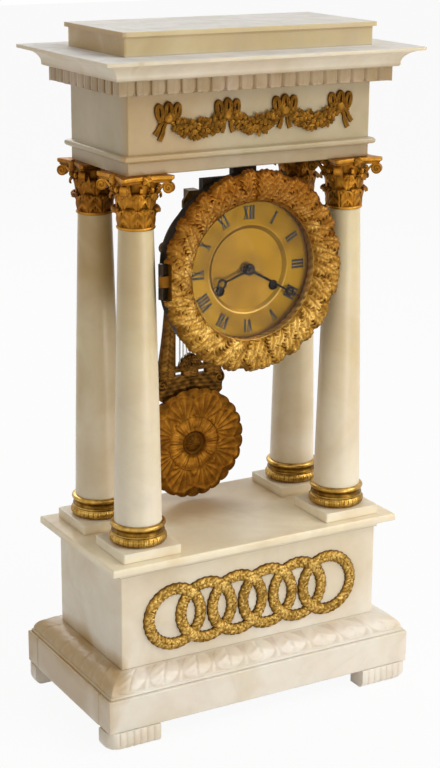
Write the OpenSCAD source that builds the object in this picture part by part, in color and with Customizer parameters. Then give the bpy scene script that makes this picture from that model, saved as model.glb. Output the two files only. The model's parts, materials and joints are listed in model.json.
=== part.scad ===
// Portico clock: four alabaster columns carry an entablature from which the dial hangs.
// X runs to the right, Y runs from the front to the back, Z runs up. Sizes are in millimetres.

/* [Base and pedestal] */
// Height of the four feet
foot_height = 14; // [10:0.5:18]
// Length of a foot along the front
foot_length = 40; // [30:1:50]
// Depth of a foot from front to back
foot_depth = 16; // [12:1:22]
// How far a foot stands proud of the base
foot_proud = 1; // [0.5:0.25:2]
// Height of the base
base_height = 24; // [18:1:30]
// Depth of the front and back bars of the base
bar_depth = 17; // [12:1:22]
// Height of the carved moulding on the base
moulding_height = 12; // [9:0.5:15]
// How far the base stands out beyond the pedestal
base_out = 19; // [14:0.5:24]
// Distance between two carved leaves of the base moulding
leaf_pitch = 19; // [15:0.5:24]
// Width of the pedestal
pedestal_width = 207; // [195:1:225]
// Depth of the pedestal
pedestal_depth = 98; // [90:1:112]
// Height of the pedestal
pedestal_height = 68; // [60:1:76]
// How far the pedestal slab stands out
slab_out = 10.5; // [7:0.5:13]
// Height of the pedestal slab
slab_height = 11; // [8:0.5:14]
// Height of the upright edge of the slab
slab_edge = 5; // [3:0.5:6]

/* [Ring mount] */
// Number of interlaced rings
ring_count = 6; // [4:1:6]
// Outer radius of one ring
ring_radius = 24.5; // [20:0.5:26]
// Width of the band of a ring
ring_band = 8.5; // [6:0.5:10]
// Distance between two ring centres
ring_pitch = 24.9; // [22:0.1:26]
// Thickness of the ring mount
ring_thickness = 3; // [2:0.25:4]

/* [Columns] */
// Distance of the column axis from the pedestal side
column_inset_x = 22.6; // [20:0.2:26]
// Distance of the column axis from the pedestal front
column_inset_y = 18.3; // [17:0.1:20]
// Width of a square plinth
plinth_width = 44; // [40:0.5:46]
// Height of a plinth
plinth_height = 7; // [5:0.5:9]
// Height of a gilt column base
column_base_height = 15; // [13:0.5:18]
// Height of a column shaft
shaft_height = 202; // [190:0.2:215]
// Radius of a shaft at its foot
shaft_foot_radius = 16.5; // [15:0.1:17]
// Radius of a shaft at its neck
shaft_neck_radius = 11.7; // [11:0.1:12.6]
// Height of a capital
capital_height = 36; // [33:0.2:39]
// Half width of the abacus at its corners
abacus_corner = 19.9; // [18.5:0.1:20.5]
// Radius of a tie rod
rod_radius = 3; // [2.5:0.1:3.4]
// Room around a tie rod
rod_room = 0.5; // [0.3:0.1:0.8]

/* [Entablature] */
// How far the frieze block stands out beyond the column axes
frieze_out = 11.5; // [10:0.1:13]
// Height of the frieze block
frieze_height = 52; // [48:0.5:56]
// Height of the plain fascia below the bead
fascia_height = 9; // [7:0.5:11]
// Radius of the bead between fascia and frieze
bead_radius = 2.1; // [1.6:0.1:2.6]
// How far the flat under the bead's curve stands out
bead_out = 1.7; // [1:0.1:2.4]
// Height of the leaf band below the cornice
leaf_band_height = 10; // [8:0.5:12]
// How far the leaf band stands out from the frieze
leaf_band_out = 11; // [9:0.5:13]
// Distance between two tips of the leaf band
leaf_tip_pitch = 11; // [9:0.5:14]
// Height of the cornice
cornice_height = 13.4; // [11:0.2:16]
// How far the cornice stands out from the frieze
cornice_out = 27; // [23:0.5:30]
// Width of the attic block
attic_width = 187; // [176:1:200]
// Depth of the attic block
attic_depth = 82.5; // [76:0.5:92]
// Height of the attic block
attic_height = 12.6; // [10:0.2:16]
// Height of the thin slab on the attic
attic_slab_height = 3; // [2:0.25:4]
// How far the attic slab stands out
attic_slab_out = 2; // [1:0.25:3]

/* [Festoon] */
// Distance between two ribbon bows
bow_pitch = 43.7; // [40:0.1:46]
// Thickness of the festoon
festoon_thickness = 2.6; // [2:0.1:3.5]
// Distance of the festoon to the right of the middle of the frieze
festoon_shift = 2.2; // [0:0.1:3]

/* [Dial head] */
// Distance of the dial centre below the frieze block
dial_drop = 70.5; // [70:0.5:76]
// Distance of the dial face in front of the middle of the case
dial_out = 38.5; // [37:0.5:40]
// Radius of the dial plate
dial_radius = 49.5; // [48.5:0.1:50.5]
// Radius of the sunk centre of the dial
dial_sunk_radius = 30.3; // [29:0.1:31]
// How far the dial centre is sunk
dial_sunk = 2; // [1:0.25:2.5]
// Thickness of the dial plate
dial_thickness = 1; // [0.8:0.1:1.4]
// Radius of the opening in the bezel
bezel_opening = 47.3; // [46.5:0.1:48]
// Radius of the bezel without its leaf tips
bezel_radius = 67; // [66:0.1:67.5]
// How far the leaf tips stand out from the bezel
bezel_tip = 1.9; // [1:0.1:2.2]
// Number of leaf tips round the bezel
bezel_leaves = 40; // [24:2:48]
// Outer radius of the drum rim behind the bezel
rim_radius = 66.5; // [65:0.1:66.5]
// Outer radius of the drum
drum_radius = 44.5; // [44:0.1:45.5]
// Thickness of the drum wall
drum_wall = 1; // [0.8:0.1:1.2]
// Thickness of the glass
glass_thickness = 1.2; // [0.8:0.1:1.4]
// Hour shown by the hands
shown_hour = 8; // [1:1:12]
// Minute shown by the hands
shown_minute = 20; // [0:1:59]

/* [Movement] */
// Thickness of the two plates
plate_thickness = 2.5; // [2:0.1:3]
// Distance between the two plates
plate_gap = 27.5; // [26:0.5:28]
// Space for the motion work between dial and front plate
motion_gap = 8.5; // [8:0.25:9]
// Distance between the two winding arbors
winding_spacing = 41.6; // [41:0.1:42.4]
// Distance of the winding arbors below the dial centre
winding_drop = 13.5; // [13:0.1:14]
// Module of the great wheels
great_module = 0.5; // [0.48:0.01:0.51]
// Module of the second wheels
second_module = 0.45; // [0.44:0.01:0.46]
// Module of the centre wheel
centre_module = 0.4; // [0.39:0.01:0.41]
// Module of the third wheel
third_module = 0.36; // [0.35:0.01:0.37]
// Thickness of a train wheel
wheel_thickness = 1.1; // [0.8:0.1:1.3]
// Radius of the arbors between the plates
arbor_radius = 1.2; // [1:0.1:1.4]
// Radius of the pivots in the plates
pivot_radius = 0.7; // [0.5:0.05:0.8]
// Radius of the bell
bell_radius = 28; // [25:0.5:29]

/* [Pendulum] */
// Distance of the lyre front behind the middle of the case
lyre_front = 41; // [40:0.5:43]
// Thickness of the lyre
lyre_thickness = 4.5; // [3.5:0.25:5.5]
// Radius of the flower bob without its lobes
bob_radius = 40.4; // [36:0.2:42]
// Height of the lobes round the bob
bob_lobe = 1.6; // [1:0.1:2.2]
// Number of lobes round the bob
bob_lobes = 26; // [16:2:32]
// Room between the bob and the slab below it
bob_room = 1.8; // [1.5:0.1:4]
// Number of strings in the lyre
string_count = 7; // [3:2:7]
// Distance between two strings
string_pitch = 2.8; // [2.4:0.1:3.6]

/* [Fits] */
// Room between a pivot and its hole
pivot_room = 0.05; // [0.03:0.01:0.08]
// Room between faces that pass each other
face_room = 0.3; // [0.3:0.05:0.5]
// Name of the part to build

/* [Hidden] */
$fn = 48;

// colours of the materials
alabaster = [0.90, 0.85, 0.76];
gilt = [0.78, 0.58, 0.24];
old_gilt = [0.48, 0.34, 0.17];
brass = [0.80, 0.66, 0.36];
steel = [0.62, 0.64, 0.67];
blued = [0.10, 0.12, 0.24];
dark_iron = [0.20, 0.17, 0.15];

// levels of the case from the floor up
base_z = foot_height;
moulding_z = base_z + base_height;
pedestal_z = moulding_z + moulding_height;
slab_z = pedestal_z + pedestal_height;
plinth_z = slab_z + slab_height;
column_base_z = plinth_z + plinth_height;
shaft_z = column_base_z + column_base_height;
capital_z = shaft_z + shaft_height;
frieze_z = capital_z + capital_height;
leaf_band_z = frieze_z + frieze_height;
cornice_z = leaf_band_z + leaf_band_height;
attic_z = cornice_z + cornice_height;
dial_z = frieze_z - dial_drop;

// hinge of the bezel, clear of both rims, and the least distance of a column axis from it
hinge_radius = 2;
hinge_pin_radius = 1;
hinge_x = -max(rim_radius + hinge_radius + 0.7, bezel_radius + bezel_tip + 0.3);
column_clear = 11.7;

// half sizes of the case in plan
base_half = [pedestal_width / 2 + base_out, pedestal_depth / 2 + base_out];
pedestal_half = [pedestal_width / 2, pedestal_depth / 2];
column_x = max(pedestal_half[0] - column_inset_x, column_clear - hinge_x);
column_y = pedestal_half[1] - column_inset_y;
frieze_half = [column_x + frieze_out, column_y + frieze_out];
attic_half = [attic_width / 2, attic_depth / 2];

// raised band of a ring, set in from its edges, and the gap where a neighbour crosses over it
ring_edge = 1.5;
ring_gap = 0.8;

// tie rod heads and nuts
rod_hole = rod_radius + rod_room;
nut_radius = rod_radius * 2.1;
nut_height = 5;
nut_pocket_radius = nut_radius + 1.2;
nut_pocket_depth = nut_height + 3;
rod_low_z = base_z + 1.5;
rod_seat_low = base_z + nut_pocket_depth;
rod_seat_high = leaf_band_z - nut_pocket_depth;

// levels of the dial head from front to back
rim_front_y = -dial_out - 5.1;
bezel_back_y = rim_front_y - face_room;
dial_back_y = -dial_out + dial_thickness;
sunk_front_y = -dial_out + dial_sunk;
sunk_back_y = sunk_front_y + dial_thickness;
plate_front_y = sunk_back_y + motion_gap;
inside_front_y = plate_front_y + plate_thickness;
inside_back_y = inside_front_y + plate_gap;
plate_back_y = inside_back_y + plate_thickness;
plate_radius = drum_radius - drum_wall - face_room;
rim_depth = 9;
hanger_thickness = 5.5;
flange_thickness = 3;
bezel_relief = 8.4;
hinge_y = (rim_front_y + bezel_back_y) / 2;
knuckle_height = 8;

// layers of the movement from front to back
layer_room = 0.9;
great_thickness = 1.5;
great_y = inside_front_y + 1.9;
barrel_length = 15;
third_y = great_y + barrel_length + layer_room;
second_y = third_y + wheel_thickness + layer_room;
centre_y = second_y + wheel_thickness + layer_room;
escape_y = great_y + barrel_length * 0.6;
pinion_over = 0.6;
end_room = 0.4;

// teeth of the wheels and leaves of the pinions
great_teeth = 72;
great_leaves = 10;
second_teeth = 60;
second_leaves = 10;
centre_teeth = 64;
third_leaves = 8;
third_teeth = 60;
escape_leaves = 8;
escape_teeth = 15;
cannon_leaves = 12;
minute_teeth = 36;
minute_leaves = 10;
hour_teeth = 40;
minute_module = 0.5;
hour_module = minute_module * (cannon_leaves + minute_teeth) / (minute_leaves + hour_teeth);
great_distance = great_module * (great_teeth + great_leaves) / 2;
second_distance = second_module * (second_teeth + second_leaves) / 2;
centre_distance = centre_module * (centre_teeth + third_leaves) / 2;
third_distance = third_module * (third_teeth + escape_leaves) / 2;
motion_distance = minute_module * (cannon_leaves + minute_teeth) / 2;

// the arbors, given across and up from the dial centre
going_at = [winding_spacing / 2, -winding_drop];
strike_at = [-winding_spacing / 2, -winding_drop];
centre_at = [0, 0];
intermediate_at = meet(second_distance, going_at, great_distance);
third_at = polar(centre_distance, 135);
escape_at = [0, third_at[1] + sqrt(third_distance * third_distance - third_at[0] * third_at[0])];
pallet_distance = 13;
anchor_at = [0, escape_at[1] + pallet_distance];
pin_at = strike_at + polar(great_distance, -20);
fly_at = pin_at + polar(second_distance, -90);
hammer_at = fly_at + [-6.5, -1.8];
minute_at = [0, motion_distance];
bell_at = [0, -6];
pillar_radius = 2.8;
pillar_distance = plate_radius * 0.88;
pillar_places = [for (turn = [62, 118, -68, -112]) polar(pillar_distance, turn)];

// barrels and winding arbors
barrel_radius = great_module * great_teeth / 2 - 1.7;
barrel_wall = 1;
barrel_bore = 3;
square_side = 3.4;
winding_hole = 3.6;
escape_radius = 8.6;

// motion work and hands
minute_post = 7.2;
hand_thickness = 0.6;
hand_half = 1.1;
hour_pipe_radius = 2.6;
cannon_radius = 1.6;
hour_hand_y = -dial_out - 1.2;
minute_hand_y = hour_hand_y - hand_thickness - 0.9;
hour_reach = dial_sunk_radius * 0.99;
minute_reach = dial_radius * 0.91;
hour_angle = 90 - 30 * (shown_hour + shown_minute / 60);
minute_angle = 90 - 6 * shown_minute;

// bell and hammer
bell_rim_y = plate_back_y + 3.5;
bell_depth = 18;
bell_wall = 1.6;
hammer_y = bell_rim_y + 1.5;

// pendulum
swing_z = dial_z + anchor_at[1];
lyre_back = lyre_front + lyre_thickness;
lyre_middle = lyre_front + lyre_thickness / 2;
bob_z = plinth_z + bob_room + bob_radius + bob_lobe;
bob_plate = 2.4;
bob_front = lyre_front - bob_plate;
lyre_foot_z = bob_z + bob_radius * 0.82;
lyre_bar_z = lyre_foot_z + 0.594 * bob_radius;
lyre_head_z = dial_z - 2;
lyre_unit = bob_radius / 40;
arm_width = 6.4 * lyre_unit;
yoke_height = 6 * lyre_unit;
lyre_rod_half = 2.6;
cock_y = lyre_front - 5;
cock_thickness = 2.5;
cock_half = 9.5;
cock_ear = 5;
cock_top = 12;
crutch_y = cock_y - 3;
spring_low = 0.7;
spring_length = 12.2;

// a point at a distance and an angle
function polar(distance, angle) = [distance * cos(angle), distance * sin(angle)];

// the point at one distance from the dial centre and another distance from a given place
function meet(from_centre, place, from_place) =
  let (gap = norm(place))
  let (along = (from_centre * from_centre - from_place * from_place + gap * gap) / (2 * gap))
  let (aside = sqrt(from_centre * from_centre - along * along))
  let (way = place / gap)
  [way[0] * along - way[1] * aside, way[1] * along + way[0] * aside];

// angle of the way from one place to another
function bearing(start, end) = atan2(end[1] - start[1], end[0] - start[0]);

// turn of a wheel that lets its teeth stand between those of a wheel already placed
function mesh(way, placed_turn, placed_teeth, teeth) =
  way + 180 + (360 / teeth) * ((way - placed_turn) * placed_teeth / 360 + 0.5);

// outline of a wheel with straight flanks and rounded tips
function wheel_outline(teeth, size, turn) = [
  for (i = [0:teeth - 1])
    let (step = 360 / teeth, middle = turn + i * step, half = step * 0.235, pitch = teeth * size / 2)
    for (q = [[-1.25, -1], [0, -1], [0.55, -0.68], [0.95, -0.22], [0.95, 0.22], [0.55, 0.68], [0, 1],
      [-1.25, 1]])
      polar(pitch + q[0] * size, middle + q[1] * half)];

// outline of a pinion with narrow leaves
function pinion_outline(leaves, size, turn) = [
  for (i = [0:leaves - 1])
    let (step = 360 / leaves, middle = turn + i * step, half = step * 0.165, pitch = leaves * size / 2)
    for (q = [[-1.3, -1], [0, -1], [0.4, -0.5], [0.4, 0.5], [0, 1], [-1.3, 1]])
      polar(pitch + q[0] * size, middle + q[1] * half)];

// outline of a circle with round lobes along its edge
function lobed_outline(radius, lobe, count, steps = 6) = [
  for (i = [0:count * steps - 1])
    polar(radius + lobe * sqrt(abs(sin(180 * i / steps))), 360 * i / (count * steps))];

// points of an arc
function arc(middle, radius, start, end, steps = 8) = [
  for (i = [0:steps])
    middle + polar(radius, start + (end - start) * i / steps)];

// closed strip that follows a spiral from an inner to an outer radius
function spiral_strip(inner, outer, turns, strip, steps) =
  let (count = turns * steps)
  concat(
    [for (i = [0:count]) polar(inner + (outer - inner) * i / count, 360 * i / steps)],
    [for (i = [count:-1:0]) polar(inner + strip + (outer - inner) * i / count, 360 * i / steps)]);

// a block with its corners mitred round a moulding, given as pairs of projection and height
module mitred(half, moulding, z) {
  reach = 2 * (half[0] + half[1]) + 200;
  translate([0, 0, z])
    intersection() {
      rotate([90, 0, 0])
        linear_extrude(height = reach, center = true)
          both_sides(half[0], moulding);
      rotate([90, 0, 90])
        linear_extrude(height = reach, center = true)
          both_sides(half[1], moulding);
    }
}

module both_sides(half, moulding) {
  polygon(concat(
    [for (q = moulding) [half + q[0], q[1]]],
    [for (i = [len(moulding) - 1:-1:0]) [-half - moulding[i][0], moulding[i][1]]]));
}

module at_columns() {
  for (x = [-1, 1], y = [-1, 1])
    translate([x * column_x, y * column_y, 0])
      children();
}

module rod_holes(low, high) {
  at_columns()
    translate([0, 0, low - 1])
      cylinder(h = high - low + 2, r = rod_hole);
}

// a flat shape seen from the front, made solid between two depths
module between(front, back) {
  translate([0, back, 0])
    rotate([90, 0, 0])
      linear_extrude(height = back - front)
        children();
}

// a round bar that runs from front to back
module bar_y(front, back, radius) {
  translate([0, back, 0])
    rotate([90, 0, 0])
      cylinder(h = back - front, r = radius);
}

// a shape turned about an axis that runs from front to back
module turned_y(back) {
  translate([0, back, 0])
    rotate([90, 0, 0])
      rotate_extrude()
        children();
}

module at_dial(place = [0, 0]) {
  translate([place[0], 0, dial_z + place[1]])
    children();
}

// base and pedestal

module feet() {
  color(alabaster)
    for (x = [-1, 1], y = [-1, 1])
      scale_side(x, y)
        foot();
}

// puts a piece made for the front right corner on any corner
module scale_side(x, y) {
  mirror([x < 0 ? 1 : 0, 0, 0])
    mirror([0, y > 0 ? 1 : 0, 0])
      children();
}

module foot() {
  corner = base_half + [foot_proud, foot_proud];
  edge = foot_height * 0.35;
  difference() {
    intersection() {
      translate([0, -corner[1] + foot_depth, 0])
        rotate([90, 0, 0])
          linear_extrude(height = foot_depth)
            rounded_side(corner[0] - foot_length, corner[0], edge);
      translate([corner[0] - foot_length, 0, 0])
        mirror([0, 1, 0])
          rotate([90, 0, 90])
            linear_extrude(height = foot_length)
              rounded_side(corner[1] - foot_depth, corner[1], edge);
    }
    for (i = [1:5])
      translate([corner[0] - foot_length * i / 6, -corner[1] - 0.8, -1])
        cylinder(h = foot_height + 2, r = 1.6);
  }
}

module rounded_side(near, far, edge) {
  polygon(concat(
    [[near, foot_height], [near, 0]],
    arc([far - edge, edge], edge, -90, 0),
    [[far, foot_height]]));
}

module base_block() {
  length = 2 * (base_half[1] - bar_depth);
  color(alabaster)
    difference() {
      translate([-base_half[0], -length / 2, base_z])
        cube([2 * base_half[0], length, base_height]);
      rod_holes(base_z, moulding_z);
      at_columns()
        translate([0, 0, base_z - 1])
          cylinder(h = nut_pocket_depth + 1, r = nut_pocket_radius);
    }
}

module base_bars() {
  color(alabaster)
    for (y = [-base_half[1], base_half[1] - bar_depth])
      translate([-base_half[0], y, base_z])
        cube([2 * base_half[0], bar_depth, base_height]);
}

module base_moulding() {
  swell = [for (a = [0:10:90]) [1 + (base_out - 4) * cos(a), 2 + (moulding_height - 2) * sin(a)]];
  color(alabaster)
    difference() {
      mitred(pedestal_half, concat([[base_out - 2, 0], [base_out - 2, 2]], swell), moulding_z);
      rod_holes(moulding_z, pedestal_z);
      leaf_cuts(pedestal_half[0], pedestal_half[1], 0);
      leaf_cuts(pedestal_half[1], pedestal_half[0], 90);
    }
}

// notches between the carved leaves along two opposite sides
module leaf_cuts(length, out, turn) {
  count = floor(2 * length / leaf_pitch);
  slope = atan2(moulding_height, base_out);
  for (side = [0, 180], i = [0:count])
    rotate([0, 0, turn + side])
      translate([(i - count / 2) * leaf_pitch, -out - base_out * 0.53, moulding_z + moulding_height * 0.86])
        rotate([slope, 0, 0])
          rotate([0, 45, 0])
            cube([1.6, base_out * 1.1, 1.6], center = true);
}

module pedestal() {
  color(alabaster)
    difference() {
      translate([-pedestal_half[0], -pedestal_half[1], pedestal_z])
        cube([pedestal_width, pedestal_depth, pedestal_height]);
      rod_holes(pedestal_z, slab_z);
    }
}

// interlaced rings: each passes over its left neighbour below and under it above
module ring_mount() {
  middle_z = pedestal_z + pedestal_height * 0.47;
  front = -pedestal_half[1] - ring_thickness;
  step = front + ring_thickness * 0.55;
  color(gilt)
    translate([0, 0, middle_z]) {
      between(step, -pedestal_half[1])
        for (i = [0:ring_count - 1])
          ring(i, 0);
      between(front, step)
        for (i = [0:ring_count - 1])
          difference() {
            ring(i, ring_edge);
            if (i > 0)
              intersection() {
                ring(i - 1, ring_edge - ring_gap);
                translate([-ring_count * ring_pitch, 0])
                  square([2 * ring_count * ring_pitch, 2 * ring_radius]);
              }
            if (i < ring_count - 1)
              intersection() {
                ring(i + 1, ring_edge - ring_gap);
                translate([-ring_count * ring_pitch, -2 * ring_radius])
                  square([2 * ring_count * ring_pitch, 2 * ring_radius]);
              }
          }
    }
}

// one flat ring of the row, its band narrowed on both edges
module ring(i, narrowed) {
  translate([(i - (ring_count - 1) / 2) * ring_pitch, 0])
    difference() {
      circle(r = ring_radius - narrowed);
      circle(r = ring_radius - ring_band + narrowed);
    }
}

module pedestal_slab() {
  hollow_height = slab_height - slab_edge - 1;
  hollow = [for (a = [0:15:90]) [1 + (slab_out - 1) * (1 - cos(a)), 1 + hollow_height * sin(a)]];
  edge = [[slab_out, slab_height - slab_edge + 0.5], [slab_out, slab_height - 0.8],
    [slab_out - 0.8, slab_height]];
  color(alabaster)
    difference() {
      mitred(pedestal_half, concat([[1, 0]], hollow, edge), slab_z);
      rod_holes(slab_z, plinth_z);
    }
}

// columns

module column_plinths() {
  color(alabaster)
    at_columns()
      translate([0, 0, plinth_z])
        linear_extrude(height = plinth_height)
          difference() {
            square(plinth_width, center = true);
            circle(r = rod_hole);
          }
}

module column_base(x, y) {
  torus = column_base_height * 0.233;
  low = plinth_width / 2 - 2.1;
  neck = shaft_foot_radius + 0.6;
  top = column_base_height;
  color(gilt)
    translate([x * column_x, y * column_y, column_base_z])
      difference() {
        rotate_extrude()
          polygon(concat(
            [[rod_hole, 0], [low - 3, 0]],
            arc([low - torus, torus], torus, -80, 80),
            [[low - 2.9, 2 * torus + 0.3], [neck + 1.2, 2 * torus + 0.6]],
            arc([neck + 2.2, top * 0.65], top * 0.12, 250, 110),
            [[neck + 1, top * 0.767]],
            arc([neck + 0.4, top * 0.88], top * 0.11, -80, 80, 5),
            [[neck, top], [rod_hole, top]]));
        for (i = [0:17])
          rotate([0, 0, i * 20])
            translate([low + 0.7, 0, torus])
              cylinder(h = 2 * torus + 1, r = 1.1, center = true);
      }
}

module column_shaft(x, y) {
  color(alabaster)
    translate([x * column_x, y * column_y, shaft_z])
      rotate_extrude()
        polygon(concat(
          [[rod_hole, 0]],
          [for (t = [0:0.1:1]) [shaft_side(t), t * shaft_height]],
          [[rod_hole, shaft_height]]));
}

// a shaft is almost straight at its foot and tapers more towards the neck
function shaft_side(t) =
  shaft_foot_radius - (shaft_foot_radius - shaft_neck_radius) * (0.75 * t + 0.25 * t * t);

module capital(x, y) {
  ring_height = 3.8;
  abacus_height = 4.6;
  bell_height = capital_height - abacus_height;
  bell_foot = shaft_neck_radius - 1;
  bell_lip = shaft_neck_radius + 2.2;
  color(gilt)
    translate([x * column_x, y * column_y, capital_z]) {
      rotate_extrude()
        polygon(concat(
          [[rod_hole, 0], [shaft_neck_radius, 0]],
          arc([shaft_neck_radius + 0.3, ring_height / 2], ring_height / 2, -70, 70, 5),
          [[bell_foot, ring_height], [bell_foot + 0.8, bell_height * 0.6], [bell_lip, bell_height + 0.5]],
          [[rod_hole, bell_height + 0.5]]));
      translate([0, 0, bell_height])
        abacus(abacus_height);
      for (i = [0:7])
        rotate([0, 0, i * 45])
          leaf(bell_foot, ring_height - 0.7, bell_height * 0.42, 3.6, 6.2);
      for (i = [0:7])
        rotate([0, 0, i * 45 + 22.5])
          leaf(bell_foot, ring_height + 1.3, bell_height * 0.66, 5.6, 4.6);
      for (i = [0:3])
        rotate([0, 0, i * 90 + 45])
          volute(bell_lip - 1, bell_height, abacus_corner * sqrt(2));
    }
}

// square top plate with hollow sides and cut corners
module abacus(height) {
  tip = 1.6;
  hollow = abacus_corner * 2.4;
  depth = 3.6;
  for (step = [0, 1])
    translate([0, 0, step * height / 2])
      linear_extrude(height = height / 2)
        difference() {
          square(2 * (abacus_corner - (1 - step) * 1.2), center = true);
          circle(r = rod_hole);
          for (i = [0:3])
            rotate(i * 90) {
              translate([abacus_corner + hollow - depth - (1 - step) * 1.2, 0])
                circle(r = hollow, $fn = 96);
              rotate(45)
                translate([abacus_corner * sqrt(2) - tip, -10])
                  square([10, 20]);
            }
        }
}

// upright leaf whose tip curls out from the bell
module leaf(root, low, rise, curl, width) {
  side = [[-1, 0], [2, 0], [1.9, 0.3 * rise], [2.4, 0.6 * rise], [curl, 0.86 * rise],
    [curl + 0.7, 0.78 * rise],
    [curl + 1.3, 0.84 * rise], [curl + 0.9, 0.98 * rise], [curl - 0.7, rise], [2, 0.92 * rise],
    [-1, 0.9 * rise]];
  translate([root, 0, low])
    rotate([90, 0, 0])
      linear_extrude(height = width, center = true)
        polygon(side);
}

// scroll on its stem under a corner of the abacus
module volute(inner, top, reach) {
  roll = 3.3;
  far = reach - 5.2;
  low = top - roll - 0.2;
  rotate([90, 0, 0])
    linear_extrude(height = 4.4, center = true) {
      translate([far, low])
        circle(r = roll);
      polygon([[inner - 5, low - 9], [inner - 2.6, low - 10], [far - 2, low - 1], [far, top + 0.3],
        [inner - 4, top + 0.3]]);
    }
  rotate([90, 0, 0])
    linear_extrude(height = 6, center = true)
      translate([far, low])
        circle(r = roll * 0.45);
}

module tie_rods() {
  color(dark_iron)
    at_columns() {
      translate([0, 0, rod_low_z])
        cylinder(h = rod_seat_high - rod_low_z, r = rod_radius);
      translate([0, 0, rod_seat_high])
        cylinder(h = nut_height, r = nut_radius);
      translate([0, 0, rod_seat_low - nut_height])
        difference() {
          cylinder(h = nut_height, r = nut_radius, $fn = 6);
          translate([0, 0, -1])
            cylinder(h = nut_height + 2, r = rod_radius + pivot_room);
        }
    }
}

// entablature

module frieze_block() {
  bead = arc([bead_out, fascia_height + bead_radius], bead_radius, -90, 90);
  bead_top = [0, fascia_height + 2 * bead_radius];
  color(alabaster)
    difference() {
      mitred(frieze_half, concat([[0, 0], [0, fascia_height]], bead, [bead_top, [0, frieze_height]]),
        frieze_z);
      rod_holes(frieze_z, leaf_band_z);
      at_columns()
        translate([0, 0, rod_seat_high])
          cylinder(h = nut_pocket_depth + 1, r = nut_pocket_radius);
    }
}

module festoon() {
  field = frieze_height - fascia_height;
  color(old_gilt)
    translate([festoon_shift, 0, frieze_z + fascia_height])
      between(-frieze_half[1] - festoon_thickness, -frieze_half[1]) {
        for (i = [-1:1])
          translate([i * bow_pitch, 0])
            swag(field / 42);
        for (i = [-1.5:1.5])
          translate([i * bow_pitch, 0])
            bow(field / 42);
      }
}

// crescent of leaves that hangs between two bows
module swag(unit) {
  difference() {
    translate([0, 30 * unit])
      circle(r = 19.4 * unit);
    translate([0, 46.5 * unit])
      circle(r = 25.5 * unit, $fn = 96);
  }
}

// three ribbon loops over a knot with two hanging ends
module bow(unit) {
  for (x = [-6.4, 0, 6.4])
    translate([x * unit, (x == 0 ? 33 : 31) * unit])
      difference() {
        circle(r = 4.1 * unit);
        circle(r = 2 * unit);
      }
  translate([0, 26.6 * unit])
    circle(r = 3.4 * unit);
  polygon([[-2.6, 26], [-5.4, 20], [-7.4, 14], [-4.6, 13], [-2.6, 19], [0.6, 25]] * unit);
  polygon([[-0.6, 25], [2.4, 19.5], [4, 13.4], [6.6, 14.6], [5.2, 20.5], [2.6, 26]] * unit);
}

module cornice() {
  lip = leaf_band_out + 3.6;
  hollow = [for (a = [0:15:90]) [lip + (cornice_out - lip) * (1 - cos(a)),
    2 + (cornice_height - 4.4) * sin(a)]];
  edge = [[cornice_out, cornice_height - 2], [cornice_out, cornice_height]];
  color(alabaster) {
    mitred(frieze_half, concat([[leaf_band_out - 2, 0], [lip, 0.6]], hollow, edge), cornice_z);
    translate([0, 0, leaf_band_z])
      linear_extrude(height = leaf_band_height)
        polygon(tongue_outline(frieze_half + [leaf_band_out - 2, leaf_band_out - 2]));
  }
}

// rectangle edged with a row of rounded leaf tips
function tongue_outline(half) =
  concat(
    tongue_side(half[0], half[1], 0), tongue_side(half[1], half[0], 90),
    tongue_side(half[0], half[1], 180), tongue_side(half[1], half[0], 270));

function tongue_side(length, out, turn) =
  let (count = round(2 * length / leaf_tip_pitch), step = 2 * length / count)
  [for (i = [0:count - 1], j = [0:5])
    let (along = -length + (i + j / 6) * step, far = -out - 2 * sqrt(sin(180 * j / 6)))
    [along * cos(turn) - far * sin(turn), along * sin(turn) + far * cos(turn)]];

module attic_block() {
  top = attic_height + attic_slab_height;
  color(alabaster)
    mitred(attic_half, [[0, 0], [0, attic_height], [attic_slab_out, attic_height],
      [attic_slab_out, top]], attic_z);
}

// dial head

module drum_hanger() {
  front = dial_back_y + flange_thickness + 2;
  top = dial_drop;
  shoulder = top * 0.894;
  half = drum_radius * 0.72;
  neck = drum_radius * 0.2;
  foot = drum_radius * 0.584;
  low = drum_radius * 0.674;
  color(dark_iron)
    at_dial()
      between(front, front + hanger_thickness)
        difference() {
          polygon([[-foot, low], [foot, low], [half, low * 1.27], [half, shoulder], [neck, shoulder],
            [neck, top],
            [-neck, top], [-neck, shoulder], [-half, shoulder], [-half, low * 1.27]]);
          circle(r = drum_radius + 0.02, $fn = 96);
        }
}

module drum() {
  back = plate_back_y;
  flange = back - dial_back_y;
  inner = drum_radius - drum_wall;
  rim = back - rim_front_y;
  color(dark_iron) {
    at_dial()
      turned_y(back)
        polygon([[inner, 0], [drum_radius, 0], [drum_radius, flange - flange_thickness],
          [rim_radius - 2, flange - flange_thickness], [rim_radius - 2, rim - rim_depth],
          [rim_radius, rim - rim_depth],
          [rim_radius, rim], [rim_radius - 2, rim], [rim_radius - 2, flange], [inner, flange]]);
    for (side = [-1, 1])
      difference() {
        knuckle(side * knuckle_height, [1.8 - rim_radius, hinge_y + 3.5]);
        at_hinge()
          cylinder(h = 4 * knuckle_height, r = hinge_pin_radius + 0.01, center = true);
      }
  }
}

module at_hinge() {
  translate([hinge_x, hinge_y, dial_z])
    children();
}

// one hinge knuckle with the leaf that joins it to its plate
module knuckle(z, root) {
  height = knuckle_height - face_room;
  translate([0, 0, dial_z + z - height / 2])
    linear_extrude(height = height) {
      translate([hinge_x, hinge_y])
        circle(r = hinge_radius);
      polygon([[hinge_x, hinge_y + (root[1] > hinge_y ? hinge_radius : -hinge_radius)],
        [hinge_x, hinge_y + (root[1] > hinge_y ? 0.3 : -0.3)],
        [root[0], hinge_y + (root[1] > hinge_y ? 0.3 : -0.3)], root]);
    }
}

module bezel_hinge_pin() {
  color(steel)
    at_hinge()
      cylinder(h = 3 * knuckle_height, r = hinge_pin_radius, center = true);
}

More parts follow.
